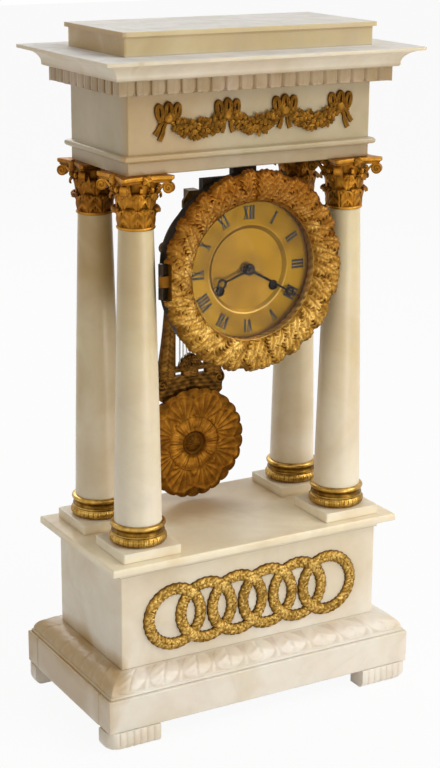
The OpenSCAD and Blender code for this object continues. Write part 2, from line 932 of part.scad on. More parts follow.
module bezel() {
  lip = glass_thickness + 0.1;
  ring = bezel_opening + 2.3;
  band = bezel_radius - ring;
  color(gilt)
    difference() {
      union() {
        at_dial()
          turned_y(bezel_back_y)
            polygon([[bezel_opening + 2.1, 0], [bezel_opening + 2.1, lip], [bezel_opening, lip],
              [bezel_opening, lip + 1.6],
              [bezel_opening + 0.9, lip + 3], [ring, lip + 3.7], [ring + 0.7, lip + 3.1],
              [ring + 1.6, lip + 4.4],
              [ring + band * 0.33, bezel_relief * 0.92], [ring + band * 0.57, bezel_relief],
              [ring + band * 0.82, bezel_relief * 0.87], [bezel_radius - 0.7, bezel_relief * 0.55],
              [bezel_radius, bezel_relief * 0.2], [bezel_radius - 0.5, 0]]);
        at_dial()
          between(bezel_back_y - 4.4, bezel_back_y - 1)
            difference() {
              polygon(lobed_outline(bezel_radius, bezel_tip, bezel_leaves));
              circle(r = ring + 5);
            }
      }
      at_hinge()
        translate([-2 * hinge_radius, -2 * hinge_radius - 1, -1.5 * knuckle_height - face_room])
          cube([4 * hinge_radius + face_room, 4 * hinge_radius + 2, 3 * knuckle_height + 2 * face_room]);
    }
  color(gilt)
    difference() {
      knuckle(0, [3.8 - bezel_radius, hinge_y - 3.2]);
      at_hinge()
        cylinder(h = 2 * knuckle_height, r = hinge_pin_radius + pivot_room, center = true);
    }
}

module dial_glass() {
  color([0.85, 0.90, 0.90, 0.3])
    at_dial()
      bar_y(bezel_back_y - glass_thickness, bezel_back_y, bezel_opening + 2);
}

module dial() {
  back = plate_front_y;
  front = back + dial_out;
  sunk = back - sunk_back_y;
  slope = dial_sunk * 1.3;
  dial_foot_distance = dial_radius * 0.727;
  color(gilt)
    at_dial() {
      difference() {
        turned_y(back)
          polygon([[3.2, sunk], [dial_sunk_radius - slope - 0.5, sunk],
            [dial_sunk_radius - 0.5, back - dial_back_y],
            [dial_radius, back - dial_back_y], [dial_radius, front], [dial_sunk_radius, front],
            [dial_sunk_radius - slope, back - sunk_front_y], [3.2, back - sunk_front_y]]);
        for (place = [going_at, strike_at])
          translate([place[0], 0, place[1]])
            bar_y(-dial_out - 1, back, winding_hole);
      }
      for (turn = [60, 180, 300])
        translate([dial_foot_distance * cos(turn), 0, dial_foot_distance * sin(turn)])
          bar_y(dial_back_y - dial_thickness / 2, back, 1.8);
    }
}

// hand with a hollow moon before its tip
module moon_hand(eye, reach, bore, boss, moon) {
  difference() {
    union() {
      circle(r = boss);
      polygon([[0, -hand_half], [eye - 0.9 * moon, -hand_half / 2], [eye - 0.9 * moon, hand_half / 2],
        [0, hand_half]]);
      translate([eye, 0])
        circle(r = moon);
      polygon([[eye + 0.9 * moon, -0.7 * hand_half], [reach, -0.1 * hand_half], [reach, 0.1 * hand_half],
        [eye + 0.9 * moon, 0.7 * hand_half]]);
    }
    circle(r = bore);
    translate([eye + moon * 0.12, 0])
      circle(r = moon * 0.62);
  }
}

module hour_hand() {
  color(blued)
    at_dial()
      between(hour_hand_y - hand_thickness, hour_hand_y)
        rotate(hour_angle)
          moon_hand(hour_reach * 0.747, hour_reach, hour_pipe_radius + 0.02, hour_pipe_radius * 1.6,
            hour_reach * 0.12);
}

module minute_hand() {
  color(blued)
    at_dial()
      between(minute_hand_y - hand_thickness, minute_hand_y)
        rotate(minute_angle)
          moon_hand(minute_reach * 0.804, minute_reach, cannon_radius + 0.02, cannon_radius * 2,
            minute_reach * 0.071);
}

// movement

module plate(front, holes) {
  between(front, front + plate_thickness)
    difference() {
      circle(r = plate_radius, $fn = 96);
      for (hole = holes)
        translate(hole[0])
          circle(r = hole[1]);
    }
}

train_places = [intermediate_at, third_at, escape_at, pin_at, fly_at];
train_holes = [for (place = train_places) [place, pivot_radius + pivot_room]];
barrel_holes = [for (place = [going_at, strike_at]) [place, barrel_bore - 0.8 + pivot_room]];
stud_holes = [for (place = pillar_places) [place, pillar_radius * 0.6 + 0.02]];

module front_plate() {
  color(brass)
    at_dial() {
      plate(plate_front_y, concat(train_holes, barrel_holes, stud_holes,
        [[centre_at, arbor_radius + pivot_room], [anchor_at, pivot_radius + pivot_room],
          [hammer_at, pivot_radius + pivot_room]]));
      translate([minute_at[0], 0, minute_at[1]])
        bar_y(plate_front_y - minute_post, plate_front_y + 0.5, arbor_radius);
    }
}

module back_plate() {
  color(brass)
    at_dial()
      plate(inside_back_y, concat(train_holes, barrel_holes, stud_holes,
        [[centre_at, pivot_radius + pivot_room], [anchor_at, 4], [hammer_at, arbor_radius + pivot_room]]));
}

module plate_pillars() {
  color(brass)
    for (place = pillar_places)
      at_dial(place) {
        bar_y(inside_front_y, inside_back_y, pillar_radius);
        bar_y(plate_front_y, plate_back_y, pillar_radius * 0.6);
      }
}

// arbor with a pivot in each plate
module arbor() {
  bar_y(inside_front_y + end_room, inside_back_y - end_room, arbor_radius);
  bar_y(plate_front_y, plate_back_y, pivot_radius);
}

module wheel(teeth, size, front, thickness, turn, hub, arms) {
  rim = teeth * size / 2 - 1.25 * size - 1.1;
  between(front, front + thickness)
    difference() {
      polygon(wheel_outline(teeth, size, turn));
      difference() {
        circle(r = rim);
        circle(r = hub);
        for (i = [0:arms - 1])
          rotate(i * 360 / arms)
            translate([0, -0.7])
              square([rim + 1, 1.4]);
      }
    }
}

module pinion(leaves, size, front, back, turn) {
  between(front, back)
    polygon(pinion_outline(leaves, size, turn));
}

module barrel(turn) {
  back = great_y + barrel_length;
  wall = barrel_radius - barrel_wall;
  turned_y(back)
    polygon([[barrel_bore + pivot_room, 0], [barrel_radius, 0], [barrel_radius, barrel_length],
      [barrel_bore + pivot_room, barrel_length], [barrel_bore + pivot_room, barrel_length - barrel_wall],
      [wall, barrel_length - barrel_wall], [wall, barrel_wall], [barrel_bore + pivot_room, barrel_wall]]);
  between(great_y, great_y + great_thickness)
    difference() {
      polygon(wheel_outline(great_teeth, great_module, turn));
      circle(r = barrel_radius - barrel_wall / 2);
    }
}

module winding_arbor() {
  bar_y(inside_front_y + end_room, inside_back_y - end_room, barrel_bore);
  bar_y(plate_front_y - 1, plate_back_y, barrel_bore - 0.8);
  between(sunk_front_y + 0.5, plate_front_y - 0.5)
    square(square_side, center = true);
}

module mainspring() {
  gap = barrel_wall + 0.8;
  between(great_y + gap, great_y + barrel_length - gap)
    polygon(spiral_strip(barrel_bore + 0.6, barrel_radius - barrel_wall - 0.9, 6, 0.6, 24));
}

great_turn = mesh(bearing(intermediate_at, going_at), 0, great_leaves, great_teeth);
second_turn = mesh(bearing(centre_at, intermediate_at), 0, second_leaves, second_teeth);
third_pinion_turn = mesh(bearing(centre_at, third_at), 0, centre_teeth, third_leaves);
escape_pinion_turn = mesh(bearing(third_at, escape_at), 0, third_teeth, escape_leaves);
pin_pinion_turn = mesh(bearing(strike_at, pin_at), 0, great_teeth, great_leaves);
fly_pinion_turn = mesh(bearing(pin_at, fly_at), 0, second_teeth, second_leaves);
minute_turn = mesh(bearing(centre_at, minute_at), 0, cannon_leaves, minute_teeth);
hour_turn = mesh(bearing(minute_at, centre_at), 0, minute_leaves, hour_teeth);

module going_barrel() {
  color(brass)
    at_dial(going_at)
      barrel(great_turn);
}

module going_arbor() {
  color(steel)
    at_dial(going_at)
      winding_arbor();
}

module going_mainspring() {
  color(steel)
    at_dial(going_at)
      mainspring();
}

module strike_barrel() {
  color(brass)
    at_dial(strike_at)
      barrel(0);
}

module strike_arbor() {
  color(steel)
    at_dial(strike_at)
      winding_arbor();
}

module strike_mainspring() {
  color(steel)
    at_dial(strike_at)
      mainspring();
}

module intermediate_wheel() {
  color(brass)
    at_dial(intermediate_at) {
      arbor();
      wheel(second_teeth, second_module, second_y, wheel_thickness, second_turn, 3, 4);
      pinion(great_leaves, great_module, great_y - pinion_over, great_y + great_thickness + pinion_over, 0);
    }
}

module centre_wheel() {
  color(brass)
    at_dial() {
      bar_y(minute_hand_y - 1.4, inside_back_y - end_room, arbor_radius);
      bar_y(inside_back_y - 1, plate_back_y, pivot_radius);
      wheel(centre_teeth, centre_module, centre_y, wheel_thickness, 0, 3, 4);
      pinion(second_leaves, second_module, second_y - pinion_over,
        second_y + wheel_thickness + pinion_over, 0);
    }
}

module third_wheel() {
  color(brass)
    at_dial(third_at) {
      arbor();
      wheel(third_teeth, third_module, third_y, wheel_thickness, 0, 2.6, 4);
      pinion(third_leaves, centre_module, centre_y - pinion_over, centre_y + wheel_thickness + pinion_over,
        third_pinion_turn);
    }
}

module escape_wheel() {
  root = escape_radius - 1.6;
  step = 360 / escape_teeth;
  color(brass)
    at_dial(escape_at) {
      bar_y(inside_front_y + end_room, inside_back_y - end_room, arbor_radius * 0.75);
      bar_y(plate_front_y, plate_back_y, pivot_radius);
      between(escape_y, escape_y + 0.8)
        difference() {
          polygon([for (i = [0:escape_teeth - 1], q = [[0, 0], [1, 0.16], [1, 0.22], [0, 0.5]])
            polar(root + q[0] * (escape_radius - root), (i + q[1]) * step)]);
          difference() {
            circle(r = root - 1);
            circle(r = 1.9);
            for (i = [0:3])
              rotate(i * 90)
                translate([0, -0.5])
                  square([root, 1]);
          }
        }
      pinion(escape_leaves, third_module, third_y - pinion_over, third_y + wheel_thickness + pinion_over,
        escape_pinion_turn);
    }
}

// anchor, its arbor and the crutch that reaches the pendulum
module anchor() {
  fork = lyre_head_z + yoke_height + 7 - swing_z;
  prong = lyre_rod_half + face_room + 1;
  color(steel)
    at_dial(anchor_at) {
      bar_y(inside_front_y + end_room, cock_y - face_room, arbor_radius);
      bar_y(plate_front_y, cock_y + cock_thickness, pivot_radius);
      between(escape_y - 0.2, escape_y + 1) {
        circle(r = 2.4);
        for (side = [-1, 1])
          polygon([[0, 1.6], [side * 5.6, 0.2], [side * 10.6, -4.6], [side * 10.2, -7.6], [side * 9, -7.2],
            [side * 8.8, -5.2], [side * 4.8, -1.8], [0, -1.6]]);
      }
      between(crutch_y, crutch_y + 1.6) {
        circle(r = 3);
        polygon([[-1.3, 0], [1.3, 0], [1, fork], [-1, fork]]);
        translate([-prong - 1, fork - 1.4])
          square([2 * prong + 2, 2.8]);
      }
      for (side = [-1, 1])
        translate([side * prong, 0, fork])
          bar_y(crutch_y, lyre_back + 0.6, 1);
    }
}

module cannon_pinion() {
  back = plate_front_y - 1.2;
  color(steel)
    at_dial()
      difference() {
        union() {
          pinion(cannon_leaves, minute_module, back - 2.4, back, 0);
          bar_y(minute_hand_y - hand_thickness - 0.5, back, cannon_radius);
        }
        bar_y(minute_hand_y - hand_thickness - 1, back + 1, arbor_radius + 0.01);
      }
}

module minute_wheel() {
  back = plate_front_y - 1.8;
  color(brass)
    at_dial(minute_at)
      difference() {
        union() {
          wheel(minute_teeth, minute_module, back - 1.2, 1.2, minute_turn, 2.6, 4);
          pinion(minute_leaves, hour_module, back - 4.2, back - 1.2, 0);
        }
        bar_y(back - 5, back + 1, arbor_radius + pivot_room);
      }
}

module hour_wheel() {
  back = plate_front_y - 4;
  color(brass)
    at_dial()
      difference() {
        union() {
          wheel(hour_teeth, hour_module, back - 1.2, 1.2, hour_turn, 3.6, 4);
          bar_y(hour_hand_y - hand_thickness - 0.2, back, hour_pipe_radius);
        }
        bar_y(hour_hand_y - 3, back + 1, cannon_radius + pivot_room);
      }
}

module pin_wheel() {
  color(brass)
    at_dial(pin_at) {
      arbor();
      wheel(second_teeth, second_module, second_y, wheel_thickness, 0, 3, 4);
      pinion(great_leaves, great_module, great_y - pinion_over, great_y + great_thickness + pinion_over,
        pin_pinion_turn);
      for (i = [0:7])
        translate([11.4 * cos(i * 45), 0, 11.4 * sin(i * 45)])
          bar_y(second_y - 1.6, second_y + 0.5, 0.5);
    }
}

module fly() {
  color(brass)
    at_dial(fly_at) {
      arbor();
      pinion(second_leaves, second_module, second_y - pinion_over, second_y + wheel_thickness + pinion_over,
        fly_pinion_turn);
      between(great_y + 2.5, great_y + barrel_length)
        square([9.6, 0.5], center = true);
    }
}

// hammer with its arbor, its tail by the pin wheel and its arm round the bell
module hammer() {
  head_way = bearing(bell_at, [-31.3, -12.5]);
  strike_face = bell_at + polar(bell_radius + 1.2, head_way) - hammer_at;
  head_middle = bell_at + polar(bell_radius + 4.2, head_way) - hammer_at;
  tail_way = bearing(hammer_at, pin_at);
  color(steel)
    at_dial(hammer_at) {
      bar_y(inside_front_y + end_room, hammer_y + 2.5, arbor_radius);
      bar_y(plate_front_y, inside_front_y + 1, pivot_radius);
      between(second_y - 1.6, second_y - 0.4)
        rotate(tail_way)
          translate([0, -0.8])
            square([6, 1.6]);
      between(hammer_y, hammer_y + 2.5) {
        circle(r = 2.6);
        polygon([[0, 1.6], [-16.8, 5.6], head_middle + [1.4, -1], head_middle + [-1.4, -1],
          [-19.6, 3.4], [0, -1.6]]);
      }
      translate([strike_face[0], hammer_y + 1.25, strike_face[1]])
        rotate([0, 90 - head_way, 0])
          cylinder(h = 6, r = 3);
    }
}

module bell() {
  bore = 2.1;
  reach = bell_radius - bore;
  color(gilt)
    at_dial(bell_at)
      translate([0, bell_rim_y, 0])
        rotate([-90, 0, 0])
          rotate_extrude()
            polygon(concat(
              [for (a = [0:10:90]) [bore + reach * cos(a), bell_depth * sin(a)]],
              [for (a = [90:-10:0]) [bore + (reach - bell_wall) * cos(a),
              (bell_depth - bell_wall) * sin(a)]]));
}

module bell_post() {
  crown = bell_rim_y + bell_depth;
  color(brass)
    at_dial(bell_at) {
      bar_y(plate_back_y, crown + 3, 2);
      bar_y(plate_back_y, plate_back_y + 2, 4);
      bar_y(crown - bell_wall - 3, crown - bell_wall - 0.6, 3.2);
      between(crown, crown + 2.6)
        circle(r = 4, $fn = 6);
    }
}

module back_cock() {
  color(brass)
    at_dial(anchor_at) {
      between(cock_y, cock_y + cock_thickness)
        difference() {
          polygon([[-cock_half, 0], [-cock_ear, 0], [-cock_ear / 2, -cock_ear / 2],
            [cock_ear / 2, -cock_ear / 2],
            [cock_ear, 0], [cock_half, 0], [cock_half, cock_ear], [cock_ear, cock_top], [-cock_ear, cock_top],
            [-cock_half, cock_ear]]);
          circle(r = pivot_radius + pivot_room);
        }
      for (side = [-1, 1])
        translate([side * (cock_half - 3), 0, cock_ear / 2]) {
          bar_y(plate_back_y, cock_y + 0.5, 2.4);
          bar_y(plate_back_y, plate_back_y + 1.6, 4);
        }
      difference() {
        translate([-4, cock_y + cock_thickness - 0.5, 6])
          cube([8, lyre_back + 1 - cock_y - cock_thickness, cock_top - 6]);
        translate([-0.22, lyre_middle - 2.22, 5])
          cube([0.44, 4.44, 8]);
      }
    }
}

module suspension_spring() {
  color(steel)
    at_dial(anchor_at)
      translate([-0.2, lyre_middle - 2.2, -spring_low])
        cube([0.4, 4.4, spring_length]);
}

// pendulum

module pendulum_lyre() {
  head = swing_z - spring_low - face_room;
  yoke_top = lyre_head_z + yoke_height;
  color(old_gilt)
    between(lyre_front, lyre_back)
      difference() {
        union() {
          lyre_foot();
          for (side = [-1, 1])
            lyre_arm(side);
          translate([-19 * lyre_unit, lyre_head_z])
            square([38 * lyre_unit, yoke_height]);
          for (side = [-1, 1])
            translate([side * 20 * lyre_unit, lyre_head_z + yoke_height / 2])
              circle(r = 4.2 * lyre_unit);
          polygon([[7, yoke_top - 1], [lyre_rod_half, yoke_top + 4], [lyre_rod_half, head],
            [-lyre_rod_half, head],
            [-lyre_rod_half, yoke_top + 4], [-7, yoke_top - 1]]);
        }
        for (side = [-1, 1])
          translate([(side * 9.5 - 2.8) * lyre_unit, lyre_bar_z - 5.6 * lyre_unit])
            square([5.6 * lyre_unit, 2.8 * lyre_unit]);
      }
}

// foot of the lyre with a scroll at each shoulder and a tongue behind the bob
module lyre_foot() {
  tongue_low = bob_z - lyre_foot_z - 12 * lyre_unit;
  top = lyre_bar_z - lyre_foot_z;
  half = 20 * lyre_unit;
  shoulder = [24, 8] * lyre_unit;
  translate([0, lyre_foot_z]) {
    polygon([[-half / 4, tongue_low], [half / 4, tongue_low], [0.4 * half, -0.3 * half],
      [1.1 * half, 0], shoulder,
      [half, top - 3], [half, top], [-half, top], [-half, top - 3], [-shoulder[0], shoulder[1]],
      [-1.1 * half, 0], [-0.4 * half, -0.3 * half]]);
    for (side = [-1, 1])
      translate([side * 23.4 * lyre_unit, 9 * lyre_unit])
        circle(r = 5.6 * lyre_unit);
  }
}

module lyre_arm(side) {
  low = lyre_bar_z - 4;
  high = lyre_head_z + 1;
  steps = 14;
  line = [for (i = [0:steps]) [side * lyre_unit * (17.6 + 4.2 * pow(1 - i / steps, 2)),
    low + (high - low) * i / steps]];
  polygon(concat(
    [for (q = line) [q[0] + arm_width / 2, q[1]]],
    [for (i = [steps:-1:0]) [line[i][0] - arm_width / 2, line[i][1]]]));
}

module lyre_strings() {
  color(steel)
    for (i = [0:string_count - 1])
      translate([(i - (string_count - 1) / 2) * string_pitch, lyre_middle, lyre_bar_z])
        cylinder(h = lyre_head_z - lyre_bar_z, r = 0.6);
}

module pendulum_bob() {
  color(old_gilt)
    translate([0, 0, bob_z]) {
      between(bob_front, lyre_front)
        polygon(lobed_outline(bob_radius, bob_lobe, bob_lobes));
      turned_y(bob_front + 0.2)
        polygon([[0, 0], [bob_radius - 1.5, 0], [bob_radius - 2.2, 1], [bob_radius * 0.72, 1.4],
          [bob_radius * 0.68, 0.9],
          [bob_radius * 0.62, 1.3], [bob_radius * 0.5, 2.4], [bob_radius * 0.26, 1.8],
          [bob_radius * 0.24, 3.4],
          [bob_radius * 0.17, 3.6], [bob_radius * 0.15, 2.2], [0, 2.8]]);
      between(bob_front - 2.6, bob_front)
        for (i = [0:11])
          rotate(i * 30)
            petal(bob_radius * 0.26, bob_radius * 0.62, bob_radius * 0.07);
    }
}

// petal bounded by two arcs
module petal(start, end, half) {
  chord = (end - start) / 2;
  bow_radius = (chord * chord + half * half) / (2 * half);
  translate([start + chord, 0])
    intersection() {
      translate([0, bow_radius - half])
        circle(r = bow_radius);
      translate([0, half - bow_radius])
        circle(r = bow_radius);
    }
}

base_block();
base_bars();
feet();
base_moulding();
pedestal();
ring_mount();
pedestal_slab();
column_plinths();
column_base(-1, -1);  // column_base_front_left
column_base(1, -1);  // column_base_front_right
column_base(-1, 1);  // column_base_back_left
column_base(1, 1);  // column_base_back_right
column_shaft(-1, -1);  // column_shaft_front_left
column_shaft(1, -1);  // column_shaft_front_right
column_shaft(-1, 1);  // column_shaft_back_left
column_shaft(1, 1);  // column_shaft_back_right
capital(-1, -1);  // capital_front_left
capital(1, -1);  // capital_front_right
capital(-1, 1);  // capital_back_left
capital(1, 1);  // capital_back_right
tie_rods();
frieze_block();
festoon();
cornice();
attic_block();
drum_hanger();
drum();
bezel();
bezel_hinge_pin();
dial_glass();
dial();
hour_hand();
minute_hand();
front_plate();
back_plate();
plate_pillars();
going_barrel();
going_arbor();
going_mainspring();
strike_barrel();
strike_arbor();
strike_mainspring();
intermediate_wheel();
centre_wheel();
third_wheel();
escape_wheel();
anchor();
cannon_pinion();
minute_wheel();
hour_wheel();
pin_wheel();
fly();
hammer();
bell();
bell_post();
back_cock();
suspension_spring();
pendulum_lyre();
lyre_strings();
pendulum_bob();
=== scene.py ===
import json
import random
from math import pi, tau
from types import SimpleNamespace as Values

import bmesh
import bpy
import numpy as np
from mathutils import Matrix, Vector
from numpy import array, clip, cos, full, hstack, linspace, radians, sin, sqrt, vstack


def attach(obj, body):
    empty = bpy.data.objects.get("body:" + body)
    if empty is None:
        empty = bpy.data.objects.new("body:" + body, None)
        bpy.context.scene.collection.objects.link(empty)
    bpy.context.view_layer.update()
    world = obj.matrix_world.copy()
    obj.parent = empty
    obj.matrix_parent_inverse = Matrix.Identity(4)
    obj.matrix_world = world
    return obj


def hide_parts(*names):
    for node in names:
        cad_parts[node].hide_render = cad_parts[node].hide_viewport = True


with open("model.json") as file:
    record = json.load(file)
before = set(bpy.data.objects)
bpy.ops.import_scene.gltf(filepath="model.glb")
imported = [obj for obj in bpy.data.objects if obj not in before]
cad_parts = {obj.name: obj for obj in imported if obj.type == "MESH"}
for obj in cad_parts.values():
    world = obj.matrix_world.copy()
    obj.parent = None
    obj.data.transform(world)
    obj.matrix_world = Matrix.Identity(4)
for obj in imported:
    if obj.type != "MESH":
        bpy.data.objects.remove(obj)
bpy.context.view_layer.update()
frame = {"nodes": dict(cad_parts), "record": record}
nodes = frame["nodes"]
scene = bpy.context.scene
mm = 0.001  # every size below is in millimetres
quarter = pi / 2
dialZ = 318.5  # height of the dial's middle
print("frame loaded,", len(nodes), "nodes")

shot = {"azimuth": -29.76, "elevation": 16.52, "roll": 0.39, "distance": 1242.3,
        "target": (0.42, -0.24, 227.7), "focalPixels": 1754.5, "imageHeight": 768, "sensor": 36}


def newObject(name, data):
    made = bpy.data.objects.new(name, data)
    scene.collection.objects.link(made)
    return made


def placeCamera():
    azimuth, tilt, roll = radians((shot["azimuth"], 90 - shot["elevation"], shot["roll"]))
    turn = Matrix.Rotation(azimuth, 4, "Z") @ Matrix.Rotation(tilt, 4, "X") @ Matrix.Rotation(roll, 4, "Z")
    optics = bpy.data.cameras.new("shot")
    optics.sensor_width = shot["sensor"]
    optics.lens = shot["focalPixels"] * shot["sensor"] / shot["imageHeight"]
    aim = Matrix.Translation(Vector(shot["target"]) * mm)
    scene.camera = newObject("shot", optics)
    scene.camera.matrix_world = aim @ turn @ Matrix.Translation((0, 0, shot["distance"] * mm))


placeCamera()


# helpers for the finishes; the bench holds the one being made

bench = {}


def tone(red, green, blue):  # linear colour of a screen tone
    return tuple(((c / 255 + 0.055) / 1.055) ** 2.4 for c in (red, green, blue))


def setSocket(socket, value):
    if isinstance(value, bpy.types.NodeSocket):
        bench["tree"].links.new(value, socket)
    else:
        socket.default_value = value


def addNode(kind, inputs=None, **settings):
    made = bench["tree"].nodes.new("ShaderNode" + kind)
    for key, value in settings.items():
        setattr(made, key, value)
    for key, value in (inputs or {}).items():
        setSocket(made.inputs[key], value)
    return made


def noise(scale, detail=4, distortion=0):
    inputs = {"Vector": bench["coords"], "Scale": scale, "Detail": detail, "Distortion": distortion}
    return addNode("TexNoise", inputs).outputs["Fac"]


def maths(operation, first, second=0, clamp=False):
    made = addNode("Math", {0: first, 1: second}, operation=operation, use_clamp=clamp)
    return made.outputs[0]


def vectorMath(operation, first, second=(0, 0, 0)):
    made = addNode("VectorMath", {0: first, 1: second}, operation=operation)
    return made.outputs["Value" if operation == "LENGTH" else "Vector"]


def upPart(vector):
    return addNode("SeparateXYZ", {0: vector}).outputs["Z"]


def rampOf(fac, stops):
    ramp = addNode("ValToRGB", {"Fac": fac})
    while len(ramp.color_ramp.elements) < len(stops):
        ramp.color_ramp.elements.new(0.5)
    for element, (place, colour) in zip(ramp.color_ramp.elements, stops):
        element.position = place
        element.color = (*colour, 1)
    return ramp.outputs["Color"]


def mapped(value, low, high, outLow, outHigh):
    inputs = {"Value": value, "From Min": low, "From Max": high, "To Min": outLow, "To Max": outHigh}
    return addNode("MapRange", inputs).outputs["Result"]


def mix(fac, first, second, blend="MIX"):
    over = (*second, 1) if isinstance(second, tuple) else second
    made = addNode("Mix", {"Factor": fac, 6: first, 7: over}, data_type="RGBA", blend_type=blend)
    return made.outputs[2]


def wire(**values):
    for key, value in values.items():
        setSocket(bench["shader"].inputs[key.replace("_", " ")], value)
    return bench["finish"]


def newFinish(name, **constants):
    finish = bpy.data.materials.new(name)
    finish.use_nodes = True
    bench.update(finish=finish, tree=finish.node_tree, shader=finish.node_tree.nodes["Principled BSDF"])
    wire(**constants)
    bench["coords"] = addNode("TexCoord").outputs["Object"]
    return bench["coords"]


def bumpOf(height, strength, depth):
    inputs = {"Height": height, "Strength": strength, "Distance": depth * mm}
    return addNode("Bump", inputs).outputs["Normal"]


def reliefOf():  # -1 in the hollows of a carved mesh, 1 on its high places; the finishes darken low values with grime and painted shade, and the metals lighten high ones with burnish and painted highlight
    return addNode("Attribute", attribute_name="relief").outputs["Fac"]


# alabaster: clouded ivory stone, darker and yellower upward with painted shade on the frieze band and painted
# light on the slab top, honey stains and painted shade mostly on the left-hand faces, dust and painted light
# on top, and grime and painted shade in the carving

stone = {
    "top": 480,
    "heights": (  # height and the colour there: darker and yellower upward, with painted shade on the frieze band under the cornice, from 390 to 450, and painted light on the slab top, from 128 to 133
        (0, 0.88, 0.8, 0.68), (48, 0.87, 0.79, 0.66), (90, 0.84, 0.74, 0.57), (124, 0.85, 0.74, 0.55),
        (128, 1, 0.86, 0.61), (133, 0.95, 0.84, 0.64), (165, 0.86, 0.76, 0.58), (250, 0.79, 0.66, 0.42),
        (350, 0.75, 0.61, 0.34), (390, 0.41, 0.305, 0.16), (397, 0.43, 0.325, 0.175), (401, 0.48, 0.39, 0.22),
        (439, 0.49, 0.39, 0.23), (442, 0.38, 0.26, 0.12), (450, 0.41, 0.285, 0.13), (453, 0.8, 0.71, 0.55),
        (463, 0.8, 0.7, 0.53), (467, 0.77, 0.63, 0.36)),
    "cloud": ((0.86, 0.8, 0.69), (1, 1, 1)), "vein": (0.58, 0.48, 0.36), "rose": (0.8, 0.62, 0.5),
    "honey": (0.48, 0.3, 0.1), "grimeAndShade": (0.5, 0.36, 0.22),
    "dustAndTopLight": ((0.74, 0.73, 0.7), (0.86, 0.85, 0.83)), "dustAndTopLightFrom": 455, "dustAndTopLightFade": 3,
    # heights where two blocks meet, and how far the dark line there reaches
    "joints": (38, 50, 118, 129, 441, 464.4), "jointReach": 0.7, "jointColour": (0.4, 0.25, 0.13),
    "stainsAndShade": (  # middle, reach each way and strength of each honey-coloured darkening; most lie on the left-hand faces, away from the key lamp, and are partly staining and partly painted shade, while the ones on the back of the slab top under the pendulum and on the left of the frieze front under the cornice are painted shade
        ((-117, 4, 46), (24, 100, 16), 0.92), ((-96, -4, 472), (4, 80, 22), 0.85),
        ((-81, 31, 338), (24, 24, 38), 0.75), ((-81, 31, 250), (22, 22, 130), 0.22),
        ((-92, -40, 336), (15, 15, 42), 0.45), ((-125, 12, 27), (14, 100, 24), 0.68),
        ((-10, 34, 129.5), (110, 40, 3), 0.5), ((-80, -43, 415), (60, 10, 40), 0.68)),
}


def alabasterFinish(name, rosy):
    coords = newFinish(name, Subsurface_Weight=0.3, Subsurface_Radius=(1, 0.72, 0.45),
                       Subsurface_Scale=0.007, IOR=1.5)
    height = upPart(coords)
    facing = upPart(addNode("NewGeometry").outputs["Normal"])
    cloud = noise(17, 5, 0.7)
    grain = noise(160, 6)
    vein = maths("ABSOLUTE", maths("SUBTRACT", noise(8, 5, 1.2), 0.5))
    # colour by height, with painted shade on the frieze band and painted light on the slab top
    colourAndShadeByHeight = [(z / stone["top"], shade) for z, *shade in stone["heights"]]
    colour = rampOf(mapped(height, 0, stone["top"] * mm, 0, 1), colourAndShadeByHeight)
    clouded = rampOf(cloud, list(zip((0.32, 0.58), stone["cloud"])))
    colour = mix(1, colour, clouded, "MULTIPLY")
    colour = mix(mapped(vein, 0, 0.04, 0.14, 0), colour, stone["vein"])
    colour = mix(mapped(noise(23, 3), 0.5, 0.72, 0, rosy), colour, stone["rose"])
    # honey stains and painted shade, mostly on the left-hand faces
    for middle, reach, strength in stone["stainsAndShade"]:
        offset = vectorMath("SUBTRACT", coords, [c * mm for c in middle])
        far = vectorMath("LENGTH", vectorMath("MULTIPLY", offset, [1 / (c * mm) for c in reach]))
        ragged = maths("ADD", far, mapped(cloud, 0.3, 0.7, -0.25, 0.25))
        colour = mix(mapped(ragged, 0.55, 1.15, strength, 0), colour, stone["honey"])
    # dust and painted light on the upward faces of the cornice and attic: paler there
    low, high = ((stone["dustAndTopLightFrom"] + side * stone["dustAndTopLightFade"]) * mm for side in (-1, 1))
    dustyAndTopLit = maths("MULTIPLY", mapped(facing, 0.7, 0.95, 0, 0.8), mapped(height, low, high, 0, 1))
    dustAndTopLight = rampOf(noise(30, 6, 1.5), list(zip((0.38, 0.6), stone["dustAndTopLight"])))
    colour = mix(dustyAndTopLit, colour, dustAndTopLight)
    upright = mapped(maths("ABSOLUTE", facing), 0.3, 0.8, 1, 0)
    soiled = maths("MULTIPLY", upright, mapped(cloud, 0.4, 0.62, 0.15, 1))
    for joint in stone["joints"]:
        away = maths("ABSOLUTE", maths("SUBTRACT", height, joint * mm))
        seam = maths("MULTIPLY", mapped(away, 0, stone["jointReach"] * mm, 0.8, 0), soiled)
        colour = mix(seam, colour, stone["jointColour"])
    # grime and painted shade in the hollows of the carving
    colour = mix(mapped(reliefOf(), -0.9, -0.05, 0.62, 0), colour, stone["grimeAndShade"])
    colour = mix(mapped(grain, 0.35, 0.65, 0, 0.08), colour, stone["vein"])
    rough = maths("ADD", mapped(grain, 0.3, 0.7, 0.28, 0.42), maths("MULTIPLY", dustyAndTopLit, 0.45))
    return wire(Base_Color=colour, Roughness=rough, Normal=bumpOf(grain, 0.1, 0.25))


